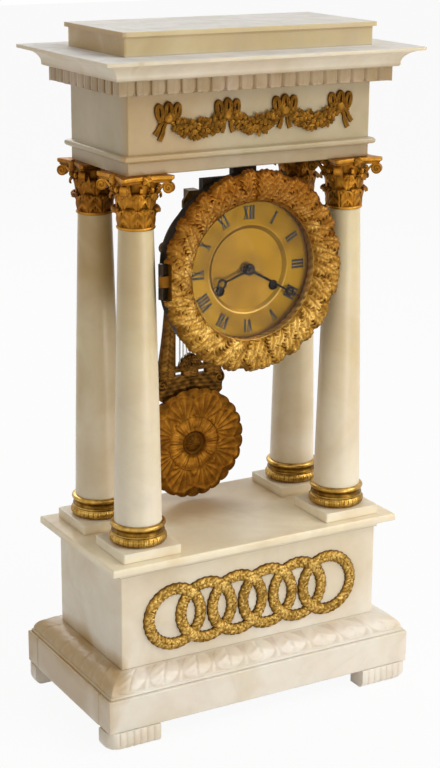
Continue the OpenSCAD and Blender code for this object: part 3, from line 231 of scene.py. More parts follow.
metals = {
    # screen tones of the hollows with grime and painted shade, the body, the high places with burnish and
    # painted highlight, and the tarnish; roughness low and high; mottle
    "bezelGilt": ((122, 83, 29), (162, 121, 50), (214, 175, 98), (120, 80, 26), (0.6, 0.38), 0.45),
    "footGilt": ((78, 52, 16), (150, 112, 42), (214, 176, 98), (112, 80, 30), (0.5, 0.26), 0.45),
    "gilt": ((84, 52, 14), (150, 108, 40), (206, 166, 88), (116, 80, 28), (0.64, 0.46), 0.4),
    "ringGilt": ((84, 58, 22), (150, 114, 48), (216, 180, 104), (118, 88, 36), (0.66, 0.46), 0.42),
    "capitalGilt": ((118, 75, 22), (160, 106, 32), (192, 138, 52), (112, 80, 28), (0.62, 0.46), 0.55),
    # darker copy of the capital gilt for the back capitals: painted shade
    "backCapitalGilt": ((90, 54, 16), (128, 80, 24), (164, 112, 40), (92, 60, 20), (0.64, 0.48), 0.55),
    # lighter copy of the aged gilt for the bob: painted light where it hangs in shade
    "litBobGilt": ((92, 58, 17), (140, 91, 26), (178, 124, 44), (112, 66, 20), (0.66, 0.54), 0.5),
    "lyreGilt": ((42, 27, 10), (86, 57, 21), (124, 86, 36), (66, 44, 18), (0.66, 0.52), 0.55),
    "festoonGilt": ((84, 54, 16), (120, 81, 26), (168, 120, 46), (100, 68, 22), (0.62, 0.46), 0.5),
    "brass": ((150, 122, 70), (200, 168, 100), (224, 198, 140), (168, 138, 82), (0.42, 0.28), 0.4),
    "oldBrass": ((52, 40, 22), (80, 62, 34), (110, 88, 50), (62, 48, 28), (0.6, 0.46), 0.5),
    "steel": ((120, 118, 115), (178, 176, 174), (210, 210, 210), (146, 138, 128), (0.42, 0.28), 0.4),
    "darkIron": ((34, 28, 22), (58, 48, 38), (82, 70, 56), (66, 48, 34), (0.66, 0.5), 0.6),
}
castGrain = (420, 0.18)  # scale and depth
grains = {"brass": (900, 0.03), "oldBrass": (600, 0.06), "steel": (900, 0.03),
          "darkIron": (300, 0.12)}
aged = {"bezelGilt": (285, 372, (120, 68, 15), 0.8)}  # painted shade, darker toward the bezel's top under the frieze and cornice: from height, to height, tone and share


def metalFinish(name):
    *tones, roughness, mottle = metals[name]
    shade, body, burnishAndHighlight, tarnish = (tone(*row) for row in tones)
    grainScale, grainDepth = grains.get(name, castGrain)
    coords = newFinish(name, Metallic=1)
    blotch = noise(48, 4, 0.4)
    spread = mapped(noise(230, 6), 0.25, 0.75, 0.5 - mottle / 2, 0.5 + mottle / 2)
    height = maths("ADD", maths("MULTIPLY", reliefOf(), 0.5), spread, True)
    # from grime and painted shade in the hollows to burnish and painted highlight on the high places
    colour = rampOf(height, ((0.08, shade), (0.48, body), (0.92, burnishAndHighlight)))
    dull = maths("MULTIPLY", mapped(blotch, 0.5, 0.7, 0, 0.7), mapped(height, 0.25, 0.8, 1, 0.25))
    colour = mix(dull, colour, tarnish)
    # painted shade toward the top
    if name in aged:
        low, high, tint, share = aged[name]
        topShade = mapped(upPart(coords), low * mm, high * mm, 0, share)
        colour = mix(topShade, colour, tone(*tint))
    rough = maths("ADD", mapped(height, 0.1, 0.9, *roughness), mapped(blotch, 0.4, 0.7, -0.04, 0.08))
    grain = noise(grainScale, 3)
    return wire(Base_Color=colour, Roughness=rough, Normal=bumpOf(grain, 0.35, grainDepth))


dialLook = {
    "sunkRadius": 30.3, "chapter": (tone(115, 83, 19), tone(143, 107, 27)),
    "middle": (tone(124, 90, 25), tone(145, 108, 31)),
    # the lower part of the step catches the light
    "step": tone(208, 170, 92), "stepFrom": -22, "stepTo": 0,
}


def dialFinish():
    coords = newFinish("dialGilt", Metallic=1)
    edge = dialLook["sunkRadius"]
    centred = vectorMath("SUBTRACT", coords, (0, 0, dialZ * mm))
    radius = vectorMath("LENGTH", vectorMath("MULTIPLY", centred, (1, 0, 1)))
    rings = addNode("TexNoise", {"W": maths("MULTIPLY", radius, 900), "Scale": 6, "Detail": 3},
                    noise_dimensions="1D").outputs["Fac"]
    blotch = noise(38, 5, 0.5)
    outer = rampOf(blotch, list(zip((0.35, 0.65), dialLook["chapter"])))
    inner = rampOf(blotch, list(zip((0.3, 0.62), dialLook["middle"])))
    colour = mix(mapped(radius, (edge - 0.4) * mm, (edge + 0.3) * mm, 0, 1), inner, outer)
    off = maths("ABSOLUTE", maths("SUBTRACT", radius, edge * mm))
    lit = mapped(upPart(centred), dialLook["stepFrom"] * mm, dialLook["stepTo"] * mm, 0.85, 0.1)
    lit = maths("MULTIPLY", mapped(off, 0.2 * mm, 0.6 * mm, 1, 0), lit)
    colour = mix(lit, colour, dialLook["step"])
    rough = mapped(rings, 0.3, 0.7, 0.4, 0.54)
    return wire(Base_Color=colour, Roughness=rough, Normal=bumpOf(rings, 0.2, 0.06))


speckled = {
    # scale of the specks, their tones, roughness low and high, and what is the same all over
    "bluedSteel": (90, ((0.3, tone(24, 20, 20)), (0.55, tone(34, 29, 30)), (0.75, tone(50, 40, 36))),
                   (0.42, 0.56), {"Metallic": 1}),
    "dialGlass": (35, ((0.3, (0.2, 0.19, 0.16)), (0.7, (0.34, 0.33, 0.3))),
                  None, {"Roughness": 0.03, "IOR": 1.45, "Alpha": 0.03}),
    "blackWax": (700, ((0.35, (0.006, 0.005, 0.004)), (0.7, (0.02, 0.016, 0.011))), (0.55, 0.75), {}),
    "redLine": (700, ((0.35, (0.12, 0.035, 0.012)), (0.7, (0.2, 0.07, 0.02))), (0.55, 0.75), {}),
    "floor": (3, ((0.3, (0.8, 0.79, 0.77)), (0.7, (0.83, 0.825, 0.815))),
              None, {"Roughness": 0.9, "Specular_IOR_Level": 0}),
}


def speckledFinish(name):
    scale, tones, rough, constants = speckled[name]
    newFinish(name, **constants)
    speck = noise(scale, 3)
    if rough:
        wire(Roughness=mapped(speck, 0.3, 0.7, *rough))
    return wire(Base_Color=rampOf(speck, tones))


finishes = {name: metalFinish(name) for name in metals}
finishes.update({name: speckledFinish(name) for name in ("bluedSteel", "dialGlass", "blackWax", "redLine")})
finishes.update(alabaster=alabasterFinish("alabaster", 0.16), dialGilt=dialFinish(),
                carvedAlabaster=alabasterFinish("carvedAlabaster", 0.34))
print("finishes ready")

# finishes of the record's slots where the name differs, and of single nodes
slotFinish = {"gilt_bronze": "gilt", "aged_gilt": "lyreGilt", "dial_gilt": "dialGilt",
              "blued_steel": "bluedSteel", "dark_iron": "darkIron", "glass": "dialGlass"}
nodeFinish = {"going_arbor": "bluedSteel", "strike_arbor": "bluedSteel", "cannon_pinion": "bluedSteel",
              "back_cock": "oldBrass", "front_plate": "oldBrass", "centre_wheel": "oldBrass"}
eased = {"width": 1, "angle": 40, "weld": 0.01,
         "nodes": ("base_block", "base_bars", "pedestal", "column_plinths", "frieze_block")}


def dressNodes():
    for row in frame["record"]["subparts"]:
        solid, slotName = nodes[row["node"]], row["material_slot"]
        finish = finishes[nodeFinish.get(row["node"], slotFinish.get(slotName, slotName))]
        if solid.material_slots:
            solid.material_slots[0].material = finish
        else:
            solid.data.materials.append(finish)
    for name in eased["nodes"]:
        weld = nodes[name].modifiers.new("weld", "WELD")
        weld.merge_threshold = eased["weld"] * mm
        ease = nodes[name].modifiers.new("ease", "BEVEL")
        ease.width = eased["width"] * mm
        ease.segments = 2
        ease.limit_method = "ANGLE"
        ease.angle_limit = radians(eased["angle"])
        ease.harden_normals = True


dressNodes()
print("solids dressed")


# mesh helpers; the heap gathers the piece being made

heap = {"points": [], "faces": [], "relief": []}


def takeHeap():  # what was gathered, leaving the heap empty
    taken = [list(part) for part in heap.values()]
    for part in heap.values():
        part.clear()
    return taken


def pack(*parts):  # points from their coordinates
    return np.stack(np.broadcast_arrays(*parts), axis=-1)


def unit(x):
    return clip(x, 0, 1)


def bump(x, width):
    return np.exp(-(x / width) ** 2)


def fraction(x):  # place within one repeat, from -0.5 to 0.5
    return x - np.floor(x) - 0.5


def circle(count):
    return linspace(0, tau, count, endpoint=False)


def apart(angle, place):  # the shorter way round from a place to an angle
    return (angle - place + pi) % tau - pi


def lens(x, low, high):  # 0 at both ends and 1 in the middle
    return sin(pi * unit((x - low) / (high - low)))


def swing(far, side, z, turn):  # points swung round the upright axis
    c, s = cos(turn), sin(turn)
    return pack(far * c - side * s, far * s + side * c, z)


def addShell(points, faces, relief=0):
    start = len(heap["points"])
    points = np.asarray(points, float).reshape(-1, 3)
    heap["points"].extend(points.tolist())
    heap["faces"].extend([tuple(start + i for i in face) for face in faces])
    heap["relief"].extend(np.broadcast_to(np.ravel(relief), len(points)).tolist())


def gridFaces(rows, cols, wrapRows=False, wrapCols=False):
    faces = []
    for r in range(rows if wrapRows else rows - 1):
        low, high = r * cols, ((r + 1) % rows) * cols
        for c in range(cols if wrapCols else cols - 1):
            d = (c + 1) % cols
            faces.append((low + c, low + d, high + d, high + c))
    return faces


def addTube(rings, relief=0, closed=False):  # rings of points, capped unless they close on themselves
    rings = np.asarray(rings, float)
    rows, cols = rings.shape[:2]
    faces = gridFaces(rows, cols, closed, True)
    if not closed:
        faces += [tuple(reversed(range(cols))), tuple(range((rows - 1) * cols, rows * cols))]
    if np.ndim(relief) == 1:  # one value for each ring
        relief = np.repeat(relief, cols)
    addShell(rings, faces, relief)


def addSheet(grid, thickness, relief):  # open grid made solid
    rows, cols = grid.shape[:2]
    normal = np.cross(np.gradient(grid, axis=1), np.gradient(grid, axis=0))
    normal /= np.linalg.norm(normal, axis=2, keepdims=True) + 1e-9
    count = rows * cols
    faces = gridFaces(rows, cols)
    faces += [tuple(count + i for i in reversed(face)) for face in faces]
    place = np.arange(count).reshape(rows, cols)
    edge = [*place[0], *place[1:, -1], *place[-1, -2::-1], *place[-2:0:-1, 0]]
    faces += [(b, a, a + count, b + count) for a, b in zip(edge, edge[1:] + edge[:1])]
    values = np.broadcast_to(relief, (rows, cols))
    # the underside gets painted shade
    addShell(vstack((grid, grid - normal * thickness)), faces, vstack((values, values - 0.5)))


def smoothLine(knots, count):  # points on a smooth curve through the knots
    knots = np.asarray(knots, float)
    padded = vstack((2 * knots[0] - knots[1], knots, 2 * knots[-1] - knots[-2]))
    place = linspace(0, len(knots) - 1 - 1e-9, count)
    i = place.astype(int)
    t = (place - i)[:, None]
    a, b, c, d = (padded[i + k] for k in range(4))
    bend = (2 * a - 5 * b + 4 * c - d) * t * t + (3 * b - a - 3 * c + d) * t ** 3
    return 0.5 * (2 * b + (c - a) * t + bend)


def sideways(line):  # unit normals of a line in its own plane
    way = np.gradient(np.asarray(line, float), axis=0)
    way /= np.linalg.norm(way, axis=1, keepdims=True) + 1e-9
    return pack(-way[:, 1], way[:, 0])


sharpAngle = 48  # edges sharper than this stay crisp


def finishPiece(name, finish, slotName, *replaced, body="case"):
    mesh = bpy.data.meshes.new(name)
    points, faces, relief = takeHeap()
    mesh.from_pydata([tuple(c * mm for c in point) for point in points], [], faces)
    work = bmesh.new()
    work.from_mesh(mesh)
    bmesh.ops.recalc_face_normals(work, faces=work.faces)
    work.to_mesh(mesh)
    work.free()
    mesh.polygons.foreach_set("use_smooth", [True] * len(mesh.polygons))
    mesh.set_sharp_from_angle(angle=radians(sharpAngle))
    layer = mesh.attributes.new("relief", "FLOAT", "POINT")
    layer.data.foreach_set("value", clip(relief, -1, 1))
    mesh.materials.append(finishes[finish])
    piece = newObject(name, mesh)
    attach(piece, body)
    if replaced:
        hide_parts(*replaced)


columns = {"front_left": (-80.9, -30.7), "front_right": (80.9, -30.7),
           "back_left": (-80.9, 30.7), "back_right": (80.9, 30.7)}


# stone courses with mitred corners

def addCourse(half, low, profile, steps, shadeDepth, carve, rounded=1):
    # profile is pairs of projection and height; carve gives a depth for side, place along it and profile step
    profile = np.asarray(profile, float)
    normal = -sideways(profile)
    sides, reliefs = [], []
    for side in range(4):
        length, depth = half[side % 2], half[1 - side % 2]
        near = array([0, 0.3, 0.65, 1, 1.6]) * rounded / length
        inner = 1 - near[-1] * 2
        along = hstack((-1 + near, linspace(-inner, inner, steps), 1 - near[:0:-1]))[None, :]
        push = carve(side, along * length, np.arange(len(profile))[:, None] + 0 * along)
        out = profile[:, :1] + push * normal[:, :1]
        up = profile[:, 1:] + push * normal[:, 1:]
        a, b = along * (length + out), -(depth + out)
        limitA, limitB = length + out - rounded, depth + out - rounded
        overA, overB = abs(a) - limitA, abs(b) - limitB
        corner = (overA > 0) & (overB > 0)
        reach = np.hypot(overA, overB) + 1e-9
        a = np.where(corner, np.sign(a) * (limitA + overA * rounded / reach), a)
        b = np.where(corner, np.sign(b) * (limitB + overB * rounded / reach), b)
        sides.append(swing(a, b, up + low, side * quarter))
        reliefs.append(push / shadeDepth)
    addTube(hstack(sides), hstack(reliefs))


moulding = {"half": (103.5, 49), "low": 38, "out": 17, "step": 2, "height": 12, "pitch": 22,
            "leaf": 1.5, "rows": 26, "swell": 15, "steps": 320, "shade": 0.8,
            "strength": (0.55, 0.3)}  # of the carving on the long and the short sides


def makeBaseMoulding():
    m = Values(**moulding)
    a = linspace(0, quarter, m.rows)
    swell = pack(1 + m.swell * cos(a), m.step + (m.height - m.step) * sin(a))
    profile = [(m.out, 0), (m.out, m.step - 0.5), (m.out - 0.5, m.step), *swell]

    def carve(side, along, level):
        t = unit((level - 3) / (m.rows - 1))
        length = m.half[side % 2]
        count = round(2 * length / m.pitch)
        u = fraction((along + length) / (2 * length) * count)
        width = 0.45 * sqrt(unit(1 - ((t - 0.55) / 0.56) ** 2)) + 1e-3
        inside = unit(1 - (abs(u) / width) ** 2)
        lobes = cos(tau * (3.2 * t + 2.4 * abs(u)))
        depth = m.leaf * inside ** 0.5 + 0.32 * lobes * inside - 0.8 * bump(u, 0.04) * inside
        depth += 1.2 * bump(abs(u) - 0.5, 0.06) * (1 - t) - 0.85
        calm = unit((length - abs(along)) / 6) * unit(t / 0.08) * unit((1 - t) / 0.06)
        return depth * calm * m.strength[side % 2]

    addCourse(m.half, m.low, profile, m.steps, m.shade, carve)
    finishPiece("carved_base_moulding", "carvedAlabaster", "alabaster", "base_moulding")


cornice = {"half": (92.4, 42.2), "bandLow": 441, "bandHeight": 10, "bandOut": 10.8, "lip": 14.6,
           "height": 13.4, "out": 27, "edge": 2, "pitch": 11, "rows": 16, "steps": 420, "shade": 1.9}


def makeCornice():
    c = Values(**cornice)
    band, lip, out = c.bandHeight, c.lip, c.out
    top, bend = band + c.height, band + 1.8
    a = linspace(0, quarter, 14)
    profile = [(c.bandOut - 2.6, 0), *((c.bandOut, z) for z in linspace(0, band - 0.3, c.rows)),
               (lip - 0.8, band), (lip, band + 0.6),
               *pack(lip + (out - lip) * (1 - cos(a)), bend + (top - c.edge - 0.4 - bend) * sin(a)),
               (out, top - c.edge), (out, top - 0.5), (out - 0.4, top - 0.1), (out - 1.2, top)]

    def carve(side, along, level):  # upright tongues with narrow grooves between them
        t = unit((level - 1) / (c.rows - 1))
        length = c.half[side % 2]
        count = round(2 * (length + c.bandOut) / c.pitch)
        u = fraction((along / length + 1) / 2 * count)
        groove = bump(abs(u) - 0.5, 0.085)
        depth = -1.3 * groove - 0.4 * (2 * u) ** 2 - 0.25 * bump(u, 0.05) - 0.4 * bump(t, 0.1)
        on = (level >= 1) & (level < 1 + c.rows)
        return np.where(on, depth * unit((length - abs(along)) / 2), 0)

    addCourse(c.half, c.bandLow, profile, c.steps, c.shade, carve)
    finishPiece("cornice_with_leaf_band", "carvedAlabaster", "alabaster", "cornice")


feet = {"corner": (123.5, 69), "length": 40, "depth": 16, "height": 14, "edge": 5.5, "flutes": 6,
        "turn": 8.5, "flute": 0.7, "shade": -0.4}


def makeFeet():
    f = Values(**feet)
    edge, turn = f.edge, f.turn
    low = edge * (1 - cos(linspace(0, quarter, 8)))
    levels = [(z, edge - sqrt(edge ** 2 - (edge - z) ** 2)) for z in low]
    levels += [(f.height - 0.5, 0), (f.height, 0.4)]
    arc = linspace(0.15, quarter, 9)
    for sx, sy in ((-1, -1), (-1, 1), (1, -1), (1, 1)):
        rings, shades = [], []
        for z, inset in levels:
            far, deep = f.length - inset, f.depth - inset
            u = linspace(0.6, far - turn, 110)
            wave = abs(sin(pi * f.flutes * u / (f.length - turn)))
            dip = (1 - wave ** 0.6) * np.minimum(u / 2, 1)
            rounded = pack(far - turn + turn * sin(arc), deep - turn + turn * cos(arc))
            line = vstack(([(0, 0), (0, deep)], pack(u, deep - f.flute * dip), rounded,
                           pack(far, linspace(deep - turn - 0.5, 0, 6))))
            x, y = (line + f.corner - (f.length, f.depth)).T
            rings.append(pack(sx * x, sy * y, z))
            shades.append(hstack(((0, 0), f.shade * dip, np.zeros(len(line) - len(u) - 2))))
        addTube(rings, array(shades))
    finishPiece("fluted_feet", "carvedAlabaster", "alabaster", "feet")


makeBaseMoulding()
makeCornice()
makeFeet()
print("carved stone ready")


# turned and leafed gilt on the columns

def turnedRings(profile, steps, push=None, middle=(0, 0), low=0):
    # rings of points round an upright axis; push(angle, step) is added to the radius
    angle = circle(steps)
    rings = []
    for step, (radius, z) in enumerate(profile):
        r = radius + (push(angle, step) if push else 0)
        rings.append(pack(middle[0] + r * cos(angle), middle[1] + r * sin(angle), low + z))
    return array(rings)


def arcProfile(radius, z, size, low, high, count):
    a = radians(linspace(low, high, count))
    return [*pack(radius + size * cos(a), z + size * sin(a))]


columnBase = {"low": 136, "height": 15, "torus": 16.4, "roll": 3.5, "fillet": 18.3,
              "hollow": (19.3, 9.75, 1.8), "ring": (17.5, 13.2, 1.65), "neck": 17.1, "leaves": 34,
              "turns": 272, "plain": 0.35, "leafShade": 0.3, "dark": -0.5}


def makeColumnBases():
    b = Values(**columnBase)
    torus = arcProfile(b.torus, b.roll, b.roll, -82, 82, 15)
    hollow = arcProfile(*b.hollow, 240, 120, 7)
    profile = [(b.torus, 0), *torus, (b.fillet, 2 * b.roll), (b.fillet, 2 * b.roll + 0.6),
               *hollow, *arcProfile(*b.ring, -75, 75, 9), (b.neck, b.height)]
    count = len(torus)

    def carve(angle, step):
        t = (step - 1) / (count - 1)
        if not 0 <= t <= 1:
            return np.zeros_like(angle)
        u = fraction(angle * b.leaves / tau)
        leaf = sqrt(unit(1 - (u / 0.5) ** 2))
        veins = 0.14 * cos(9 * pi * t + 6 * abs(u))
        return (0.45 * leaf - 0.25 * bump(u, 0.08) + veins - 0.45) * sin(pi * t)

    shade = full((len(profile), b.turns), b.plain)
    for step in range(1, count + 1):
        shade[step] = b.leafShade + 1.1 * carve(circle(b.turns), step)
    # painted shade in the hollow between the rolls
    shade[count + 3:count + 3 + len(hollow)] = b.dark
    for corner, place in columns.items():
        addTube(turnedRings(profile, b.turns, carve, place, b.low), shade)
        finishPiece("leafed_base_" + corner, "footGilt", "gilt_bronze", "column_base_" + corner)


capital = {
    "low": 353, "height": 36, "neck": 11.9, "roll": 1.05, "abacus": 4.6, "corner": 19.9, "hollow": 3.6,
    "volute": 3.6, "thick": 5.2,
    "bell": ((11.4, 1.6), (11.7, 10), (12, 19), (13.4, 25.5), (15.4, 31.7)),  # radius and height
    # leaves: root, lowest point, rise, curl, width, share of a step round, lobes
    "leaves": ((11.4, 1.7, 12.6, 2.7, 10.2, 0, 3.5), (11.2, 4, 20.4, 3.4, 9.8, 0.5, 4.5)),
    # midrib of a leaf below its curl: distance out, and share of the rise
    "midrib": ((0.6, 0), (1, 0.3), (1.5, 0.62), (2.6, 0.9)),
    # distance and height along the corner stems and the small inner stalks
    "stem": ((12, 15.5), (13.2, 21), (16.2, 26.5)), "stalk": ((12.8, 17), (13.6, 22), (15.2, 26.6)),
    "flower": 3.4, "flowerOut": 16.7, "flowerZ": 33.4,
    # steps of the abacus: scale, height and shade
    "plate": ((0.9, 0, -0.5), (0.94, 0.9, -0.2), (0.945, 1.7, -0.5), (0.985, 2.1, 0.1), (1, 2.7, 0.4),
              (1, 4.3, 0.4), (0.985, 4.6, 0.2)),
}


def addAcanthus(root, low, rise, curl, width, turn, lobes, rows=36, cols=23):
    line = smoothLine([*capital["midrib"], (curl, 1), (curl + 1.3, 0.93), (curl + 1.3, 0.82)], rows)
    v = linspace(0, 1, rows)[:, None]
    u = linspace(-1, 1, cols)[None, :]
    off = abs(u)
    half = width / 2 * (0.8 + 0.36 * sin(pi * unit(v * 1.05))) * (1 - 0.4 * v ** 4)
    notch = abs(cos(pi * lobes * (v - 0.1 * off))) ** 3
    side = u * half * (1 - 0.34 * notch * off ** 1.5)
    veins = cos(tau * (lobes * v - 0.8 * off))
    out = 0.7 * (1 - off) ** 0.8 + 0.42 * veins * off ** 0.8 - 0.45 * bump(u, 0.1)
    radius = root + line[:, :1] + out * (1 - 0.3 * v)
    angle = turn + side / (radius + 0.5)
    grid = pack(radius * cos(angle), radius * sin(angle), low + rise * line[:, 1:] - 0.6 * off ** 2 * v)
    addSheet(grid, 0.8, -0.1 + 0.5 * v + 0.55 * veins * off - 0.4 * bump(u, 0.12) - 0.2 * off)


def addRibbon(line, width, thickness, turn, relief):
    # strip along a line of distance and height, drawn in the plane of one corner
    normal = sideways(line) * thickness / 2
    side, depth = array([(-1, 1), (-0.55, 0.5), (0.55, 0.5), (1, 1), (1, -1), (-1, -1)]).T
    far, z = line[:, :1] + normal[:, :1] * depth, line[:, 1:] + normal[:, 1:] * depth
    addTube(swing(far, width / 2 * side[None, :], z, turn), relief)


def addVolute(far, height, radius, thick, turn):
    # solid scroll seen from both sides, with a spiral ridge on each face
    a = circle(36)[None, :]
    r = linspace(0.15, radius, 11)[:, None]
    ridge = abs(sin(pi * (1.6 * r / radius - a / tau)))
    face = thick / 2 - 0.5 + 0.55 * ridge * clip((radius - r) / 0.6, 0.4, 1)
    r, side = vstack((r, r[::-1])), vstack((-face, face[::-1]))
    shade = 0.7 * ridge - 0.45
    addTube(swing(far + r * sin(a), side, height + r * cos(a), turn), vstack((shade, shade[::-1])))


def addCapital():
    c = Values(**capital)
    bellTop = c.height - c.abacus
    ring = arcProfile(c.neck, c.roll, c.roll, -80, 80, 9)
    addTube(turnedRings([(c.neck - 0.6, 0), *ring, (c.neck - 1, 2 * c.roll)], 72), 0.75)
    # the bell under the leaves gets painted shade
    addTube(turnedRings(smoothLine(c.bell, 14), 64), -0.35)
    for i in range(8):
        for root, low, rise, curl, width, share, lobes in c.leaves:
            addAcanthus(root, low, rise, curl, width, (i + share) * pi / 4, lobes)
    far, height = c.corner * sqrt(2) - 5.6, bellTop - c.volute + 0.2
    stem = smoothLine([*c.stem, (far - 2.6, height + 2.6), (far, height + 3.4)], 14)
    stalk = smoothLine(c.stalk, 8)
    a = circle(30)
    for i in range(4):
        side = i * quarter
        addRibbon(stem, 4.4, 1.4, side + pi / 4, 0.25)
        addVolute(far, height, c.volute, c.thick, side + pi / 4)
        for way in (-1, 1):  # small inner scrolls under the flower
            addRibbon(stalk, 2.2, 1.1, side + way * 0.22, 0.1)
            addVolute(15.2, 27, 2.1, 2.4, side + way * 0.24)
        petals = []
        for r in linspace(0.15, c.flower, 7):  # five-petalled flower
            share = r / c.flower
            wave = cos(5 * a) * share
            wide = r * (1 + 0.16 * wave)
            out = c.flowerOut + 1.6 * cos(1.3 * share) + 0.5 * wave
            petals.append(swing(out, wide * cos(a), c.flowerZ + wide * sin(a), side))
        petals.append(petals[-1] - 2.5 * array([cos(side), sin(side), 0]))
        addTube(petals, linspace(0.7, -0.5, 8))
    t = linspace(-1, 1, 25)[:-1]  # abacus with hollow sides and cut tips
    out = c.corner - c.hollow * (1 - t * t) - np.where(abs(t) > 0.999, 1.6, 0)
    outline = vstack([swing(out, t * (c.corner - 0.9), bellTop, i * quarter) for i in range(4)])
    plate = [outline * (scale, scale, 1) + (0, 0, z) for scale, z, shade in c.plate]
    addTube(plate, array(c.plate)[:, 2])


def makeCapitals():
    addCapital()
    points, faces, relief = takeHeap()
    for corner, place in columns.items():
        addShell(array(points) + (*place, capital["low"]), faces, relief)
        # the back capitals take the darker copy as painted shade
        finish = "backCapitalGilt" if corner.startswith("back") else "capitalGilt"
        finishPiece("leafed_capital_" + corner, finish, "gilt_bronze", "capital_" + corner)


makeColumnBases()
makeCapitals()
print("column mounts ready")


# six interlaced leafy rings on the pedestal

ringMount = {"count": 6, "radius": 20.25, "half": 4.3, "pitch": 24.9, "z": 81.96, "back": -48.95,
             "height": 2, "leafPitch": 4.2, "turns": 320, "seed": 3}


def makeRingMount():
    m = Values(**ringMount)
    angle = circle(m.turns)[:, None]
    across = linspace(-1, 1, 15)[None, :]
    hump = sqrt(unit(1 - across ** 2))
    leaves = angle * m.radius / m.leafPitch + 0.9 * abs(across) + np.where(across > 0, 0.5, 0)
    scale = sin(pi * (leaves - np.floor(leaves)) ** 0.6)
    wide = m.radius + m.half * across * (1 + 0.05 * sin(tau * leaves))
    crossing = np.arccos(m.pitch / 2 / m.radius)
    chance = np.random.default_rng(m.seed)
    for i in range(m.count):
        lift = np.zeros_like(angle)
        last, first = i == m.count - 1, i == 0
        for place, way, bare in ((crossing, 1, last), (-crossing, -1, last),
                                 (pi - crossing, -1, first), (pi + crossing, 1, first)):
            if not bare:
                lift = lift + way * bump(apart(angle, place), 0.26)
        ragged = chance.normal(0, 0.22, (m.turns // 2, 8)).repeat(2, axis=0).repeat(2, axis=1)[:, :15]
        leaf = (0.42 * scale + ragged) * unit(hump * 1.6) - 0.25 * bump(across, 0.09)
        depth = 0.35 + (m.height + 0.65 * lift) * hump ** 0.7 + leaf * 0.62
        x = (i - (m.count - 1) / 2) * m.pitch
        front = pack(x + wide * cos(angle), m.back - clip(depth, 0.3, 3.1), m.z + wide * sin(angle))
        behind = front[:, ::-7] * (1, 0, 1) + (0, m.back, 0)
        # painted shade toward the edges of each band and on its back against the stone
        relief = clip(1.15 * leaf - 0.12 + 0.25 * lift - 0.6 * (1 - hump), -1, 1)
        addTube(hstack((front, behind)), hstack((relief, full((m.turns, 3), -0.9))), True)
    finishPiece("interlaced_leaf_rings", "ringGilt", "gilt_bronze", "ring_mount")


# festoon of leaf swags and ribbon bows on the frieze

festoon = {
    "low": 398, "shift": 2.2, "back": -42.15, "pitch": 43.7, "end": 29, "sag": 10.6, "leaves": 150,
    "flowers": 11, "seed": 11,
    # radius, height and shade of each step of a flower and of a knot
    "flower": ((1, 0.6, -0.9), (1.05, 1.7, -0.2), (0.8, 2.3, 0.5), (0.3, 2.2, -0.3), (0.1, 2.5, 0.8)),
    "knot": ((3.3, 0.3, -0.6), (3.4, 1.6, -0.1), (2.7, 2.5, 0.2), (1.2, 2.8, 0.4)),
    # ribbon across its width: place, height and shade
    "ribbon": ((-1, 0, -0.8), (-1, 0.7, 0), (-0.6, 1, 0.6), (-0.2, 0.72, -0.2), (0.2, 0.72, -0.2),
               (0.6, 1, 0.6), (1, 0.7, 0), (1, 0, -0.8)), "ribbonShade": -0.1,
    # middle of each bow loop from the knot, its lean, half height and thickness
    "loops": ((-6.3, 30.8, 0.16, 4.5, 2), (6.3, 30.8, -0.16, 4.5, 2), (0, 31.6, 0, 4.7, 2.4)),
    "outerTails": (((-0.8, 25.5), (-3.2, 21), (-4, 17.5), (-6.4, 12.5)),
                   ((-2.2, 26), (-5.8, 22.6), (-7.4, 19.4), (-9.6, 16.4))),
    "innerTails": (((-0.8, 25), (-2.4, 22), (-2.8, 19), (-4.4, 15)),
                   ((0.8, 25), (2.4, 22), (2.8, 19), (4.4, 15))),
}


def addSmallLeaf(place, way, length, width, lean, relief):
    v, u = linspace(0, 1, 7)[:, None], linspace(-1, 1, 5)[None, :]
    side = u * width / 2 * sin(pi * unit(v * 0.92 + 0.06)) ** 0.8
    along = v * length
    proud = lean * sin(pi * 0.75 * v) + 0.35 * (1 - abs(u)) - 0.22 * bump(u, 0.3) * v
    c, s = cos(way), sin(way)
    grid = pack(place[0] + along * c - side * s, festoon["back"] - place[2] - proud,
                place[1] + along * s + side * c)
    addSheet(grid, 0.6, relief + 0.6 * v - 0.5 * abs(u))


def addBand(x, z, width, height):  # ribbon lying on the frieze along a line, with raised borders
    line = pack(x, z)
    reach = sideways(line) * np.broadcast_to(width, len(line))[:, None] / 2
    t, h, shade = array(festoon["ribbon"]).T
    rings = pack(line[:, :1] + reach[:, :1] * t, festoon["back"] - height * h, line[:, 1:] + reach[:, 1:] * t)
    addTube(rings, np.broadcast_to(shade + festoon["ribbonShade"], (len(line), len(t))))


def addBoss(x, z, steps, petals, size=1):  # round flower or knot on the frieze
    a = circle(26)
    wave = size * (1 + petals * cos(5 * a))
    rings = [pack(x + r * wave * cos(a), festoon["back"] - h, z + r * wave * sin(a)) for r, h, shade in steps]
    addTube(rings, array(steps)[:, 2])


